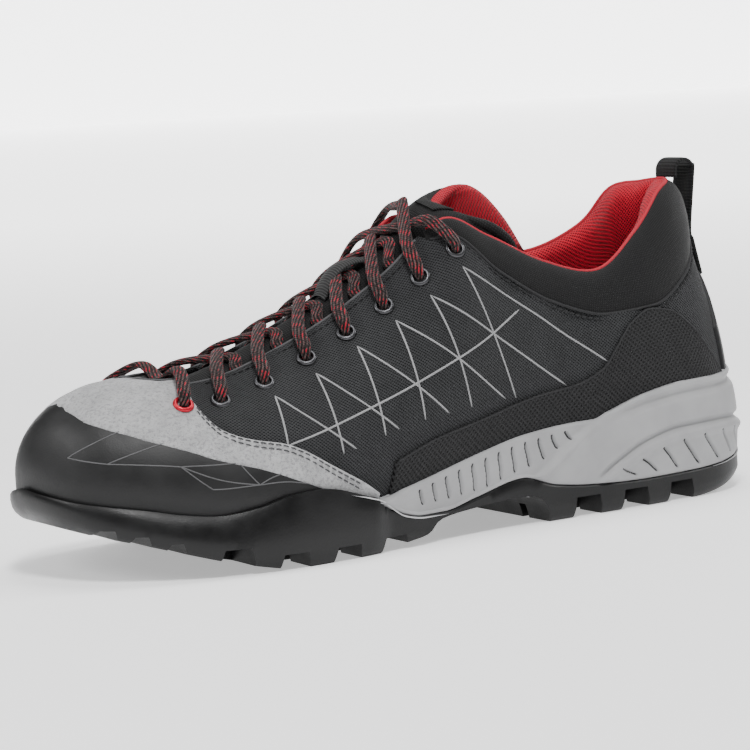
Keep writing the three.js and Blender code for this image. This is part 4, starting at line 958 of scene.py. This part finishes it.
def lace_run(form, route, ups, tight):
    """A flat lace through route, lying flat against ups, and narrow where tight is 1."""
    fine = smooth_line(route, 24 * (len(route) - 1) + 1)
    line, at = resampled(fine, 0.7)
    share = np.interp(at, travelled(fine), np.linspace(0, len(route) - 1, len(fine)))
    up = unit(read_off(share, np.arange(len(route)), np.array(ups)))
    squeeze = np.interp(share, np.arange(len(route)), tight)
    width = LACE_WIDTH / 2 * (1.02 - 0.4 * squeeze) * (1 + 0.02 * np.sin(at * 2.1))
    sweep(form, line, up, width, LACE_THICKNESS / 2 * (1 + 0.1 * squeeze), 18, 0.85)


def from_eyelet(start, out, way, slant=0.0):
    """Points of a lace from inside an eyelet to where it lies flat, going way, and their up directions."""
    deep = start - out * LACE_ENTRY["deep"] - way * 0.3 * slant
    rising = start + out * LACE_ENTRY["out"] + way * 0.2 * slant
    return [deep, rising, start + out * LACE_REST + way * LACE_ENTRY["flat"]], [-way, unit(out - way), out]


def lace_cross(form, k):
    """The two strands that leave the eyelets k. Each dips under the next pair; the last ends in an eyelet."""
    (u, v), (after, after_v) = EYELETS[k], EYELETS[k + 1]
    last = k + 2 == len(EYELETS)
    middle = (u + after) / 2
    ridge = ridge_normal(np.float64(middle))
    for side, turn, back in ((1, outer_place, inner_place), (-1, inner_place, outer_place)):
        lift = STRAND_LIFT + (STRAND_STEP if side > 0 else 0)
        start, out = over(turn(u), v, 0)
        points, ups = from_eyelet(start, out, unit(upper_point(turn(u), 1.0) - start), 1)
        crest = u + 0.04 if last and side < 0 else middle
        sinking = lifted(crest - 0.12, -side * 0.34, 0.45 * lift + 0.55 * STRAND_LIFT)
        points += [over(turn(u), 1.0, LACE_REST)[0], lifted(crest, 0.0, lift), sinking]
        ups += [unit(out + ridge), ridge, ridge]
        if last:
            rim, rim_out = over(back(after) + (0.3 if side < 0 else 0), 1.0, LACE_REST)
            end, end_out = over(back(after), after_v, 0)
            inside, inside_ups = from_eyelet(end, end_out, unit(rim - end))
            points += [rim] + inside[::-1]
            ups += [unit(rim_out + ridge)] + inside_ups[::-1]
        else:
            points.append(lifted(after + DIVE, -side * DIVE_SIDE, STRAND_LIFT))
            points.append(lifted(after + DIVE - 0.12, -side * 0.86, 0.9))
            ups += [ridge, ridge]
        lace_run(form, points, ups, [1, 1] + [0] * (len(points) - 4) + ([1, 1] if last else [0, 0.3]))


def make_laces():
    for k in range(1, len(EYELETS) - 1):
        form = Form()
        lace_cross(form, k)
        form.piece(f"lace_pair_{k}", "lace", [LACE], [f"lace_cross_{k}"])
    u, v = EYELETS[0]
    halves = []
    for turn in SIDES.values():
        start, out = over(turn(u), v, 0)
        rim, rim_out = over(turn(u + BAR_BOW), 1.0, LACE_REST)
        points, ups = from_eyelet(start, out, unit(rim - start))
        halves.append([points + [rim], ups + [rim_out]])
    (points, ups), (back, back_ups) = halves
    points += [lifted(u + BAR_BOW, 0.0, STRAND_LIFT)] + back[::-1]
    ups += [ridge_normal(np.float64(u + BAR_BOW))] + back_ups[::-1]
    form = Form()
    lace_run(form, points, ups, [1, 1, 0, 0, 0, 0, 0, 1, 1])
    form.piece("lace_first", "lace", [LACE], ["lace_bar"])


def make_keeper():
    t = np.linspace(0, 1, 34)[:, None]
    s = np.linspace(1, -1, 20)[None]
    thickness = KEEPER["thickness"]
    high = STRAND_LIFT + STRAND_STEP + LACE_THICKNESS / 2 - 0.3
    lift = thickness + 0.3 + high * np.sin(np.pi * np.clip(t * 1.1 - 0.05, 0, 1)) ** 0.8
    u = KEEPER["from"] + (KEEPER["to"] - KEEPER["from"]) * t
    band = sheet_of(lifted(u + 0 * s, s * KEEPER["half"], lift + 0 * s), thickness, 0.08)
    band.piece("keeper_band", "webbing", [WEBBING_DARK], ["lace_keeper"])


# The pull loop at the heel.
LOOP_FOOT = 0.685 * COLLAR_HEIGHT
LOOP_LEAVES = 0.84 * COLLAR_HEIGHT
SEWN = {"height": 9, "half": 4.7}  # the stitched box at the loop's foot


def back_of(z, off):
    """Point behind the heel strip at height z."""
    heel = np.float64(0)
    return [skin(heel, level_at(heel, np.float64(z)), PANEL + 2 * GAP + off)[0], 0, z]


def make_loop():
    crest_x, _, crest_z = upper_point(0.0, 1.0)
    half = WEBBING / 2
    radius = LOOP_RADIUS - half
    centre_x, centre_z = crest_x - (LOOP_RADIUS - WEBBING), crest_z + LOOP_RISE - LOOP_RADIUS
    line = [back_of(z, half) for z in np.linspace(LOOP_FOOT, LOOP_LEAVES, 5)]
    for angle in np.linspace(np.pi, 0, 9):
        line.append([centre_x + radius * math.cos(angle), 0, centre_z + radius * math.sin(angle)])
    line.append([centre_x + radius, 0, crest_z + GAP])
    line, _ = resampled(smooth_line(line, 160), 0.6)
    side = np.tile([0.0, 1.0, 0.0], (len(line), 1))
    face = np.cross(unit(np.gradient(line, axis=0)), side)
    strap = sweep(Form(), line, face, WEBBING_WIDTH / 2, half, 28, 0.3)
    strap.piece("loop_strap", "webbing", [WEBBING_BLACK], ["pull_loop"])
    count = int(np.searchsorted(line[:, 2], LOOP_FOOT + SEWN["height"]))
    side, normal = side[1:count], -face[1:count]
    normal = np.where(normal[:, :1] > 0, -normal, normal)
    foot = line[1:count] + normal * (half + 0.1)
    shifts = (-SEWN["half"], SEWN["half"])
    box = Form()
    for shift in shifts:
        stitches(box, foot + side * shift, normal)
    for at in (0, -1):
        ends = [foot[at] + side[0] * shift for shift in shifts]
        stitches(box, np.linspace(*ends, 12), np.tile(normal[at], (12, 1)))
    slant = np.linspace(*shifts, len(foot))[:, None]
    for sign in (1, -1):
        stitches(box, foot + side * sign * slant + normal * 0.05, normal)
    box.piece("loop_stitches", "webbing", [DARK_THREAD])


# The midsole: its side with a band, grooves and two fields of slits, and a lip against the upper.
MIDSOLE_BULGE = 1.4
SOLE_ROW_LENGTH = 24  # rough distance between two rows on the sole's side
SLITS = [
    {"from": 4.95, "to": 7.68, "count": 12, "lean": 0.12,
     "low": [[4.95, 0.243], [5.5, 0.185], [5.9, 0.165], [6.5, 0.132], [7.85, 0.117]],
     "high": [[4.95, 0.276], [5.75, 0.264], [6.6, 0.232], [7.3, 0.197], [7.85, 0.166]]},
    {"from": 0.7, "to": 3.9, "count": 9, "lean": 0.3,
     "low": [[0.7, 0.15], [1.6, 0.124], [2.7, 0.104], [3.9, 0.104]],
     "high": [[0.7, 0.2], [2, 0.212], [2.9, 0.2], [3.5, 0.165], [3.9, 0.135]]},
]
SLIT_DEPTH = 1.5
SLIT_HALF = 0.6
BAND_GROOVE = [[0.3, 0.218], [1, 0.23], [2, 0.24], [2.9, 0.236], [3.5, 0.21], [4.05, 0.16], [4.5, 0.1]]
UPPER_GROOVE = [[0.2, 0.368], [0.8, 0.358], [1.6, 0.347], [2.7, 0.34], [3.4, 0.325], [4.3, 0.28]]
BAND_EDGE = [[4.3, 0.31], [4.75, 0.262], [5.19, 0.2], [5.45, 0.16], [5.75, 0.115], [6, 0.05]]
BAND_DEPTH = 1.5
BAND_ROLL = {"height": 1.1, "width": 1.7, "below": 3.2}  # the swelling under the band's groove
TOP_GROOVE = {"depth": 1.8, "width": 1.7, "fade": 0.6}
RECESS = {"depth": 1.5, "end": 8.3, "slope": 2.6}  # the field in front of the band lies deeper
BAND_LIP = {"height": 1.0, "behind": 1.6, "width": 1.4}
CORNER = {"reach": 1.3, "drop": 0.9}  # rounding of the side's upper and lower edges
PLUG = {"low": 0.24, "high": 0.36, "reach": 0.52, "proud": 0.5}


def across_groove(m, z, line, width, fade=0.25):
    """Depth of a groove along a list of heights, 1 at its middle, and how far above its middle z lies."""
    ends = np.clip((m - line[0][0]) / fade, 0, 1) * np.clip((line[-1][0] - m) / fade, 0, 1)
    slope = (smooth_list(line, m + 0.05) - smooth_list(line, m - 0.05)) / (0.1 * SOLE_ROW_LENGTH)
    away = (z - smooth_list(line, m)) / np.sqrt(1 + slope**2)
    return np.exp(-((away / width) ** 2)) * ends, away


def slit_edges(field, m):
    return smooth_list(field["low"], m), smooth_list(field["high"], m)


def slit_pitch(field):
    return (field["to"] - field["from"]) / (field["count"] - 1)


def midsole_relief(u, z):
    """How far the midsole's side stands out at the places u and heights z."""
    m = mirrored(u)
    depth = 0 * m
    under_lip = np.clip((edge(SOLE_EDGE, u) - z - 0.6) / 4.5, 0, 1)
    for field in SLITS:
        low, high = slit_edges(field, m)
        share = (z - low) / np.maximum(high - low, 1)
        lane = (m - field["lean"] * (share - 0.5) - field["from"]) / slit_pitch(field)
        away = (lane - np.round(np.clip(lane, 0, field["count"] - 1))) * slit_pitch(field) * SOLE_ROW_LENGTH
        ends = np.clip(share * 6, 0, 1) * np.clip((1 - share) * 6, 0, 1)
        depth = depth - SLIT_DEPTH * np.exp(-((away / SLIT_HALF) ** 4)) * ends * under_lip**0.6
    groove, _ = across_groove(m, z, BAND_GROOVE, BAND_ROLL["height"])
    roll, _ = across_groove(m, z + BAND_ROLL["below"], BAND_GROOVE, BAND_ROLL["width"])
    top, _ = across_groove(m, z, UPPER_GROOVE, TOP_GROOVE["width"], TOP_GROOVE["fade"])
    depth = depth - BAND_DEPTH * groove + BAND_ROLL["height"] * roll - TOP_GROOVE["depth"] * top
    _, front = across_groove(m, z, BAND_EDGE, 1.0)
    front = np.where(m > BAND_EDGE[-1][0], 9.0, front)
    fade = np.clip((m - BAND_EDGE[0][0]) / 0.3, 0, 1) * np.clip((RECESS["end"] - m) / 0.6, 0, 1)
    recess = RECESS["depth"] * under_lip / (1 + np.exp(-front * RECESS["slope"]))
    lip = BAND_LIP["height"] * np.exp(-(((front + BAND_LIP["behind"]) / BAND_LIP["width"]) ** 2))
    return depth + (lip - recess) * fade


def midsole_side(u, z):
    low, high = edge(PARTING, u), edge(SOLE_EDGE, u)
    return sole_side(u, low, high, GAP, (z - low) / (high - low), MIDSOLE_BULGE)


# Dark strips laid in the carved slits of the midsole: painted shade inside the slits.
def make_painted_slit_shade():
    form = Form()
    share = np.linspace(0.06, 0.94, 14)
    for field in SLITS:
        for k in range(field["count"]):
            m = field["from"] + k * slit_pitch(field) + field["lean"] * (share - 0.5)
            low, high = slit_edges(field, m)
            z = low + (high - low) * share
            for turn in SIDES.values():
                out = sole_out(turn(m))
                line = midsole_side(turn(m), z) + out * (midsole_relief(turn(m), z)[:, None] + 0.25)
                sweep(form, line, out, 0.46 * np.sin(np.pi * share) ** 0.4, 0.2, 6)
    form.piece("painted_slit_shade", "midsole_foam", [SLIT_SHADE])


def midsole_floor():
    """Rings of a plain core that closes the midsole under the foot and over the outsole."""
    ring = ring_places()[:-1]
    floor = sole_point(ring, 0 * ring) - sole_out(ring) * 7
    x, arch = column("soleX", ring), np.array(ARCH)
    tread = np.maximum(tread_at(x), 0) + LUG_DEPTH + TREAD_BASE
    low, high = floor.copy(), floor.copy()
    low[:, 2] = np.maximum(tread, np.interp(x, x_at(arch[:, 0]), arch[:, 1] * COLLAR_HEIGHT)) + 1
    high[:, 2] = column("z", ring) - 0.5
    return np.stack([low, high])


def make_midsole():
    end = CUP_START + 0.14
    u = np.linspace(-end, end, 900)[:, None]
    low, high = [edge(points, np.minimum(mirrored(u), CUP_START)) for points in (PARTING, SOLE_EDGE)]
    share = np.linspace(0, 1, 74)[None]
    side = sole_side(u + 0 * share, low + 0 * share, high + 0 * share, GAP, share, MIDSOLE_BULGE)
    out = sole_out(u)
    near = np.minimum(share, 1 - share) * (high - low) / CORNER["reach"]
    relief = midsole_relief(u + 0 * share, low + (high - low) * share) * np.clip(near, 0, 1)
    side = side + out * (relief - CORNER["drop"] * (1 - rounded(near)))[..., None]
    turn = np.linspace(0, 1, 9)[None]
    lip_out = (LIP + GAP - CORNER["drop"]) * (1 - turn) ** 1.4 - 0.4 * turn
    lip = skin(u + 0 * turn, level_at(u, high) - 0.012 * turn, lip_out)
    lip[..., 2] = high + 0.35 * np.sin(np.pi * turn) - 1.2 * turn**3
    foot = side[:, :1] - out * (np.linspace(1, 0, 6)[None] * 9)[..., None]
    form = Form().grid(np.concatenate([foot, side[:, 1:], lip], axis=1)).stack(midsole_floor())
    form.piece("midsole_foam", "midsole_foam", [FOAM], ["midsole"])


def make_plug():
    y, rows = np.linspace(-1, 1, 21)[None], np.linspace(0, 1, 13)[:, None]
    z = (PLUG["low"] + (PLUG["high"] - PLUG["low"]) * rows + 0 * y) * COLLAR_HEIGHT
    place = np.mod(y * PLUG["reach"], RING) + 0 * rows
    near = np.minimum(np.minimum(rows, 1 - rows) * 12, np.minimum(y + 1, 1 - y) * 6)
    lift = PLUG["proud"] * (rounded(near / 1.2) - 0.5)
    face = midsole_side(place, z) + sole_out(place) * lift[..., None]
    Form().grid(face).piece("back_plug", "plug", [PLUG_RUBBER], ["heel_plug"])


# The outsole: a cupped body with its tread cut out of it.
HIDDEN_INSET = 5
CUP_BULGE = 1.6
TUCK = {"heel": 2.2, "cup": 1.3}
CUP_DROP = 1.5
COVER = RAND + 2 * GAP
SLOT_WIDTH = 9
SLOT_FLARE = 1.2
SLOT_REACH = 17
SLOT_FOOT = -8
HEEL_SLOTS = [0.163, 0.236, 0.309]
HEEL_SLOT_DEPTH = 7.2
BALL_SLOTS = [0.601, 0.671, 0.742, 0.812]
TOE_SLOTS = [0.878, 0.912, 0.942]
TOE_SLOT_WIDTH = 3.4
GROOVE = 4
GROOVES = [[0.07, 0.37], [0.58, 0.79]]
CHEVRON = {"width": 3.6, "sweep": 6}
CHEVRONS = [[0.14, 0.16], [0.29, 0.16], [0.635, 0.3], [0.69, 0.3], [0.745, 0.3]]
SOLE_PLACES = ring_places()[:-1]
SHARP_ANGLE = math.radians(32)
CUP_LINE = [[7.1, 0.082], [7.6, 0.084], [7.95, 0.098], [8.4, 0.154], [9, 0.188], [9.6, 0.215], [9.95, 0.211]]


def in_cup(u):
    """1 where the rubber covers the midsole and 0 where it doesn't, with a short ramp."""
    return np.clip((mirrored(u) - CUP_START + 0.15) / 0.3, 0, 1)


def body_rings():
    u = SOLE_PLACES
    low, cup = tread_at(column("soleX", u)), in_cup(u)
    high = edge(PARTING, u) + (edge(SOLE_EDGE, u) - edge(PARTING, u)) * cup
    rings = []
    for share in (0, 0.04, 0.12, 0.3, 0.5, 0.75, 0.93, 1):
        side = sole_side(u, low, high, COVER, np.full(u.shape, share), CUP_BULGE)
        plain = sole_point(u, low + (high - low) * share)
        tuck = np.interp(share, [0, 0.04, 0.12, 0.3], [1, 0.62, 0.35, 0]) + (0.28 if share == 1 else 0)
        inset = tuck * (TUCK["heel"] + (TUCK["cup"] - TUCK["heel"]) * cup)
        rings.append(plain + (side - plain) * cup[:, None] - sole_out(u) * inset[:, None])
    return np.stack(rings)


def midsole_cutter():
    u = SOLE_PLACES
    cup = in_cup(u)
    tread = np.maximum(tread_at(column("soleX", u)), 0) + LUG_DEPTH + TREAD_BASE
    low = np.where(cup > 0.5, tread, edge(PARTING, u) - 0.2)
    high = column("z", u) + GAP + 8 * (1 - cup)
    out = sole_out(u) * (4 - cup * (4 + HIDDEN_INSET))[:, None]
    return np.stack([sole_point(u, z) + out for z in (low, high)])


def cup_cutter():
    u = SOLE_PLACES
    bottom = column("z", u)
    heights = [bottom + (COLLAR_HEIGHT / 2 - bottom) * share for share in (0, 0.12, 0.3, 0.55, 1)]
    rings = [skin(u, level_at(u, z), COVER) for z in heights]
    rings[0][:, 2] = bottom - CUP_DROP
    return np.stack(rings)


def prism(outline, axis, start, end):
    """Two rings of an outline in a plane, pushed along an axis: 1 for Y and 2 for Z."""
    outline = np.asarray(outline, float)
    return np.stack([np.insert(outline, axis, value, axis=1) for value in (start, end)])


def groove_y(share, side):
    """Where the slots of one side end, towards the middle of the sole."""
    places = SIDES["outer" if side > 0 else "inner"](np.linspace(0, TOE_ROW, 400))
    nearest = places[np.argmin(np.abs(column("soleX", places) - x_at(share)))]
    return side * (abs(float(column("soleY", nearest))) - SLOT_REACH)


def slot_cutters(side):
    slots = [(s, SLOT_WIDTH + 1, HEEL_SLOT_DEPTH) for s in HEEL_SLOTS]
    slots += [(s, SLOT_WIDTH, LUG_DEPTH) for s in BALL_SLOTS]
    slots += [(s, TOE_SLOT_WIDTH, 0.6 * LUG_DEPTH) for s in TOE_SLOTS]
    for s, width, depth in slots:
        x, z, half = x_at(s), float(tread_at(x_at(s))), width / 2
        wide = half + SLOT_FLARE
        right = [(x + wide, z + SLOT_FOOT), (x + wide, z), (x + half, z + depth)]
        left = [(x - half, z + depth), (x - wide, z), (x - wide, z + SLOT_FOOT)]
        inner = groove_y(s, side)
        yield prism(left[2:] + right + left[:2], 1, inner, inner + side * BALL_WIDTH)


def groove_cutters(side):
    for first, last in GROOVES:
        line = np.linspace(first, last, 9)
        y = np.array([groove_y(s, side) for s in line])
        near, far = [list(zip(x_at(line), y + shift)) for shift in (-GROOVE / 2, GROOVE / 2)]
        yield prism(near + far[::-1], 2, -2, LUG_DEPTH)


def tread_cutters():
    cutters = []
    for side in (1, -1):
        cutters += [*slot_cutters(side), *groove_cutters(side)]
    half, swept = CHEVRON["width"] / 2, CHEVRON["sweep"]
    for s, reach in CHEVRONS:
        x, r = x_at(s), reach * BALL_WIDTH
        front = [(x + half, -r), (x + half + swept, 0), (x + half, r)]
        back = [(x - half, r), (x - half + swept, 0), (x - half, -r)]
        cutters.append(prism(back[2:] + front + back[:2], 2, -2, LUG_DEPTH))
    hollow = smooth_line([(x_at(s), h * COLLAR_HEIGHT) for s, h in ARCH], 33)
    return cutters + [prism(hollow, 1, -BALL_WIDTH, BALL_WIDTH)]


def solid_object(name, rings, flat_ends=False):
    mesh = bpy.data.meshes.new(name)
    mesh.from_pydata((rings.reshape(-1, 3) * METRE).tolist(), [], stack_faces(rings, flat_ends))
    clean(mesh, TINY / 10, triangles=True)
    return new_object(name, mesh)


def make_outsole():
    body = solid_object("outsole_rubber", body_rings())
    cutters = [solid_object("cut_midsole", midsole_cutter()), solid_object("cut_cup", cup_cutter())]
    cutters += [solid_object(f"cut_{k}", rings, True) for k, rings in enumerate(tread_cutters())]
    for cutter in cutters:
        modifier = body.modifiers.new(cutter.name, "BOOLEAN")
        modifier.operation, modifier.solver, modifier.object = "DIFFERENCE", "MANIFOLD", cutter
    bpy.context.view_layer.update()
    done = bpy.data.meshes.new_from_object(body.evaluated_get(bpy.context.evaluated_depsgraph_get()))
    body.modifiers.clear()
    body.data = done
    for cutter in cutters:
        bpy.data.objects.remove(cutter)
    done.materials.clear()
    done.materials.append(TREAD_RUBBER)
    done.shade_smooth()
    done.set_sharp_from_angle(angle=SHARP_ANGLE)
    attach(body, "root")
    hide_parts("outsole")


def make_rim_lines():
    """Bright lines along the rim of the rubber: around the front of the cup, and under the heel."""
    for name, turn in SIDES.items():
        u = np.linspace(CUP_START - 1.25, 9.1, 120)
        place = turn(u)
        height, out = smooth_list(CUP_LINE, u), sole_out(place)
        low, high = tread_at(column("soleX", place)), edge(SOLE_EDGE, place)
        rim = sole_side(place, low, high, COVER, np.clip((height - low) / (high - low), 0, 0.97), CUP_BULGE)
        plain = sole_point(place, height)
        line = plain + (rim - plain) * in_cup(place)[:, None] + out * 0.15
        taper = np.clip(np.minimum(u - u[0], u[-1] - u) / 0.35, 0.05, 1)
        form = sweep(Form(), line, out, 0.26 * taper, 0.22, 8)
        u = np.linspace(-0.3 if name == "outer" else 0.3, 2.3, 120)
        line = sole_point(turn(u), edge(PARTING, turn(u)) - 0.35)
        sweep(form, line, sole_out(turn(u)), 0.3 * np.clip((u[-1] - u) / 1.2, 0.05, 1), 0.35, 8)
        form.piece("rim_line_" + name, "tread_rubber", [SILVER])


def make_insole():
    ring = ring_places(0, RING, 10)[:-1]
    rings = []
    for inset, rise in ((2.6, 0), (2.6, INSOLE - 1), (3.0, INSOLE - 0.3), (3.9, INSOLE)):
        level = points_of(column("x", ring), column("y", ring), column("z", ring) + rise)
        rings.append(level - outward(ring) * inset)
    Form().stack(np.stack(rings)).piece("footbed", "footbed", [LINING], ["insole"])


# Lines on the cloth, the toe band and the seams.
BACK_X = 58  # how far the lines' zero lies behind the frame's origin
ZIGZAG_HALF = 0.36
ZIGZAG_LIFT = 0.05
ZIGZAG = [  # each peak, then its steep and its slanted foot: distance from the lines' zero and height
    [(201, 54.7), (204, 39.7), (180, 36)],
    [(184, 60.7), (185, 35), (162.4, 40.5)],
    [(167, 68.2), (168, 39), (141.5, 43.5)],
    [(151.6, 75.4), (151.5, 42.4), (115.7, 45.2)],
    [(138.5, 82.8), (131.3, 44.2), (88.4, 46.7)],
    [(124.7, 91.3), (111, 45), (69.4, 52.8)],
]
LONG_LINE = [
    (204, 39.7), (191, 42.7), (173.6, 47.7), (156, 53.2), (137.6, 60.3), (119.6, 67.4), (104.6, 74.8),
]
FACETS = [  # a plain net of lines on the toe band: pairs of place and share of its height
    [(13.15, 0.45), (12.5, 0.98)],
    [(13.15, 0.45), (12.6, 0.5), (11.85, 0.98)],
    [(12.6, 0.5), (11.6, 0.68), (11.15, 0.44), (10.5, 0.54), (9.75, 0.72)],
    [(11.6, 0.68), (10.8, 0.97), (10.5, 0.54), (10.2, 0.9)],
    [(11.6, 0.68), (10.5, 0.54)],
]
THROAT_EDGE, THROAT_SEAM = (0.997, 0.99), (0.955, 0.95)  # shares of the upper's side: a line's, its normal's
TRIM_HALF = 0.5


def make_zigzag():
    runs = [np.linspace(peak, foot, 22) for peak, *feet in ZIGZAG for foot in feet]
    runs.append(smooth_line(LONG_LINE, 60))
    every = np.concatenate(runs)
    ends = np.cumsum([0] + [len(run) for run in runs])
    for name, turn in SIDES.items():
        u, v = side_place(every[:, 0] - BACK_X, every[:, 1], turn)
        line, normal = skin(u, v, softness(u, v) + ZIGZAG_LIFT), upper_normal(u, v)
        form = Form()
        for a, b in zip(ends, ends[1:]):
            steps = np.arange(b - a)
            taper = np.clip(np.minimum(steps, steps[::-1]) / 1.5 + 0.35, 0, 1)
            sweep(form, line[a:b], normal[a:b], ZIGZAG_HALF * taper, 0.2, 8)
        form.piece("zigzag_" + name, "mesh", [PALE_LINE])


def make_facets():
    form = Form()
    for turn in SIDES.values():
        for (a, p), (b, q) in [pair for line in FACETS for pair in zip(line, line[1:])]:
            u = turn(np.linspace(a, b, 26))
            low = share_of(SOLE_EDGE, u)
            v = low + (rand_top(u) - low) * np.linspace(p, q, 26)
            sweep(form, skin(u, v, GAP + RAND + 0.02), upper_normal(u, v), 0.2, 0.1, 6)
    form.piece("toe_facets", "rand_rubber", [FACET_LINE])


def seam_line(turn, start, end, height, below, offset):
    """Points along an edge of an overlay, set back below it by some millimetres, and their normals."""
    u = turn(np.linspace(start, end, int((end - start) * 40)))
    top = height(u)
    rise = np.linalg.norm(upper_point(u, top) - upper_point(u, top - RIM_STEP), axis=-1) / RIM_STEP
    v = top - below / rise
    return skin(u, v, offset), upper_normal(u, v)


def throat_line(turn, start, end, shares, sunk):
    """Points along the edge of the throat, on the cloth or on the suede, and their normals."""
    u = turn(np.linspace(start, end, 160))
    offset = np.where(mirrored(u) > SUEDE_CORNER + 0.1, SUEDE_SEAT + SUEDE, 0.0) - sunk
    at, normal_at = [np.full(u.shape, share) for share in shares]
    return skin(u, at, offset), upper_normal(u, normal_at)


def make_stitching():
    suede, panel, seam, trim = Form(), Form(), Form(), Form()
    for turn in SIDES.values():
        for below in (1.4, 3.0):
            stitches(suede, *seam_line(turn, 8.9, 11.42, suede_high, below, SUEDE_SEAT + SUEDE))
        sweep(panel, *seam_line(turn, 1.4, 8.2, panel_top, 0.5, GAP + PANEL - 0.15), 0.35, 0.3, 8)
        stitches(seam, *seam_line(turn, 0.3, 7.2, upper_high, 1.9, 0.1))
        stitches(seam, *throat_line(turn, 7.6, 11.3, THROAT_SEAM, -0.1))
        edge_line = throat_line(turn, COLLAR_END + 0.14, CLOSED_ROW - 0.02, THROAT_EDGE, 0.2)
        sweep(trim, *edge_line, TRIM_HALF, TRIM_HALF, 10)
    suede.piece("suede_stitches", "suede", [GREY_THREAD])
    panel.piece("panel_edge", "side_mesh", [DARK_THREAD])
    seam.piece("cloth_stitches", "mesh", [DARK_THREAD])
    trim.piece("throat_trim", "mesh", [GREY_THREAD])


make_upper()
make_overlays()
make_collar()
make_tongue()
make_patch()
make_eyelets()
make_laces()
make_keeper()
make_loop()
make_midsole()
make_plug()
make_painted_slit_shade()
make_outsole()
make_rim_lines()
make_insole()
make_zigzag()
make_facets()
make_stitching()

# The camera, at the photograph's angle. From here on, lengths are in metres.
AIM = Vector((0.092, 0, 0.050))
AZIMUTH = math.radians(30)
ELEVATION = math.radians(6.6)
DISTANCE = 1.072
ROLL_ANGLE = math.radians(-3.4)
LENS = 146.98
SENSOR = 36
SHIFT = (0.016, 0.0173)
FAR_CLIP = 20
UPWARD = Vector((0, 0, 1))
BEHIND = Vector((-math.sin(AZIMUTH), -math.cos(AZIMUTH), 0))  # level direction from the camera to the shoe


def make_camera():
    back = -BEHIND * math.cos(ELEVATION) + UPWARD * math.sin(ELEVATION)
    right = (-back).cross(UPWARD).normalized()
    up = right.cross(-back)
    rolled_right = math.cos(ROLL_ANGLE) * right + math.sin(ROLL_ANGLE) * up
    rolled_up = -math.sin(ROLL_ANGLE) * right + math.cos(ROLL_ANGLE) * up
    data = bpy.data.cameras.new("camera")
    data.lens, data.sensor_width, data.clip_end = LENS, SENSOR, FAR_CLIP
    data.shift_x, data.shift_y = SHIFT
    camera = new_object("camera", data)
    rows = Matrix((rolled_right, rolled_up, back)).transposed()
    camera.matrix_world = Matrix.Translation(AIM + back * DISTANCE) @ rows.to_4x4()
    bpy.context.scene.camera = camera


# A pale floor that brightens into a backdrop behind the shoe, and soft lights.
REACH = 7.0
WALL_AWAY, WALL_HALF, WALL_HEIGHT = 6, 3, 2
FLOOR_GLOW = 0.5
BACK_GLOW = 2.8
GLOW_START, GLOW_END = 0.05, 2.2  # how far behind the shoe the glow starts to rise, and is full
WORLD_LIGHT = 0.24
LIGHTS = [  # name, place, target, size and power
    ("key", (0.45, 0.75, 1.45), (0.08, 0, 0.05), 0.4, 22),
    ("toe light", (1.2, -0.2, 0.9), (0.15, 0, 0.04), 0.6, 7),
    ("top", (-0.2, -0.2, 1.5), (0.05, 0, 0.05), 0.9, 12),
    ("rim", (-1.1, 0.3, 0.9), (0, 0, 0.08), 0.4, 6),
]


def stage_look():
    """Pale and matte, with a glow that rises away from the camera behind the shoe."""
    look = Look("stage", (0.88, 0.88, 0.885), 0.7, 0.2)
    look.shader.inputs["Emission Color"].default_value = (1, 1, 1, 1)
    where = look.node("ShaderNodeTexCoord", {}, output="Object")
    away = look.node("ShaderNodeVectorMath", {0: where, 1: BEHIND}, output="Value", operation="DOT_PRODUCT")
    look.join(look.band(away, GLOW_START, GLOW_END, FLOOR_GLOW, BACK_GLOW), "Emission Strength")
    return look.material


def make_stage():
    side = Vector((-BEHIND.y, BEHIND.x, 0)) * WALL_HALF
    foot = [BEHIND * WALL_AWAY - side, BEHIND * WALL_AWAY + side]
    wall = foot + [corner + UPWARD * WALL_HEIGHT for corner in foot[::-1]]
    floor = [(-REACH, -REACH, 0), (REACH, -REACH, 0), (REACH, REACH, 0), (-REACH, REACH, 0)]
    material = stage_look()
    for name, corners in (("floor", floor), ("backdrop", wall)):
        mesh = bpy.data.meshes.new(name)
        mesh.from_pydata([tuple(corner) for corner in corners], [], [[0, 1, 2, 3]])
        mesh.materials.append(material)
        thing = new_object(name, mesh)


def make_lights():
    world = bpy.data.worlds.new("studio")
    bpy.context.scene.world = world
    world.use_nodes = True
    background = world.node_tree.nodes["Background"]
    background.inputs["Color"].default_value = (1, 1, 1, 1)
    background.inputs["Strength"].default_value = WORLD_LIGHT
    for name, place, target, size, power in LIGHTS:
        data = bpy.data.lights.new(name, "AREA")
        data.shape, data.size, data.energy = "DISK", size, power
        light = new_object(name, data)
        light.location = place
        light.rotation_mode = "QUATERNION"
        light.rotation_quaternion = (Vector(target) - Vector(place)).to_track_quat("-Z", "Y")


make_camera()
make_stage()
make_lights()
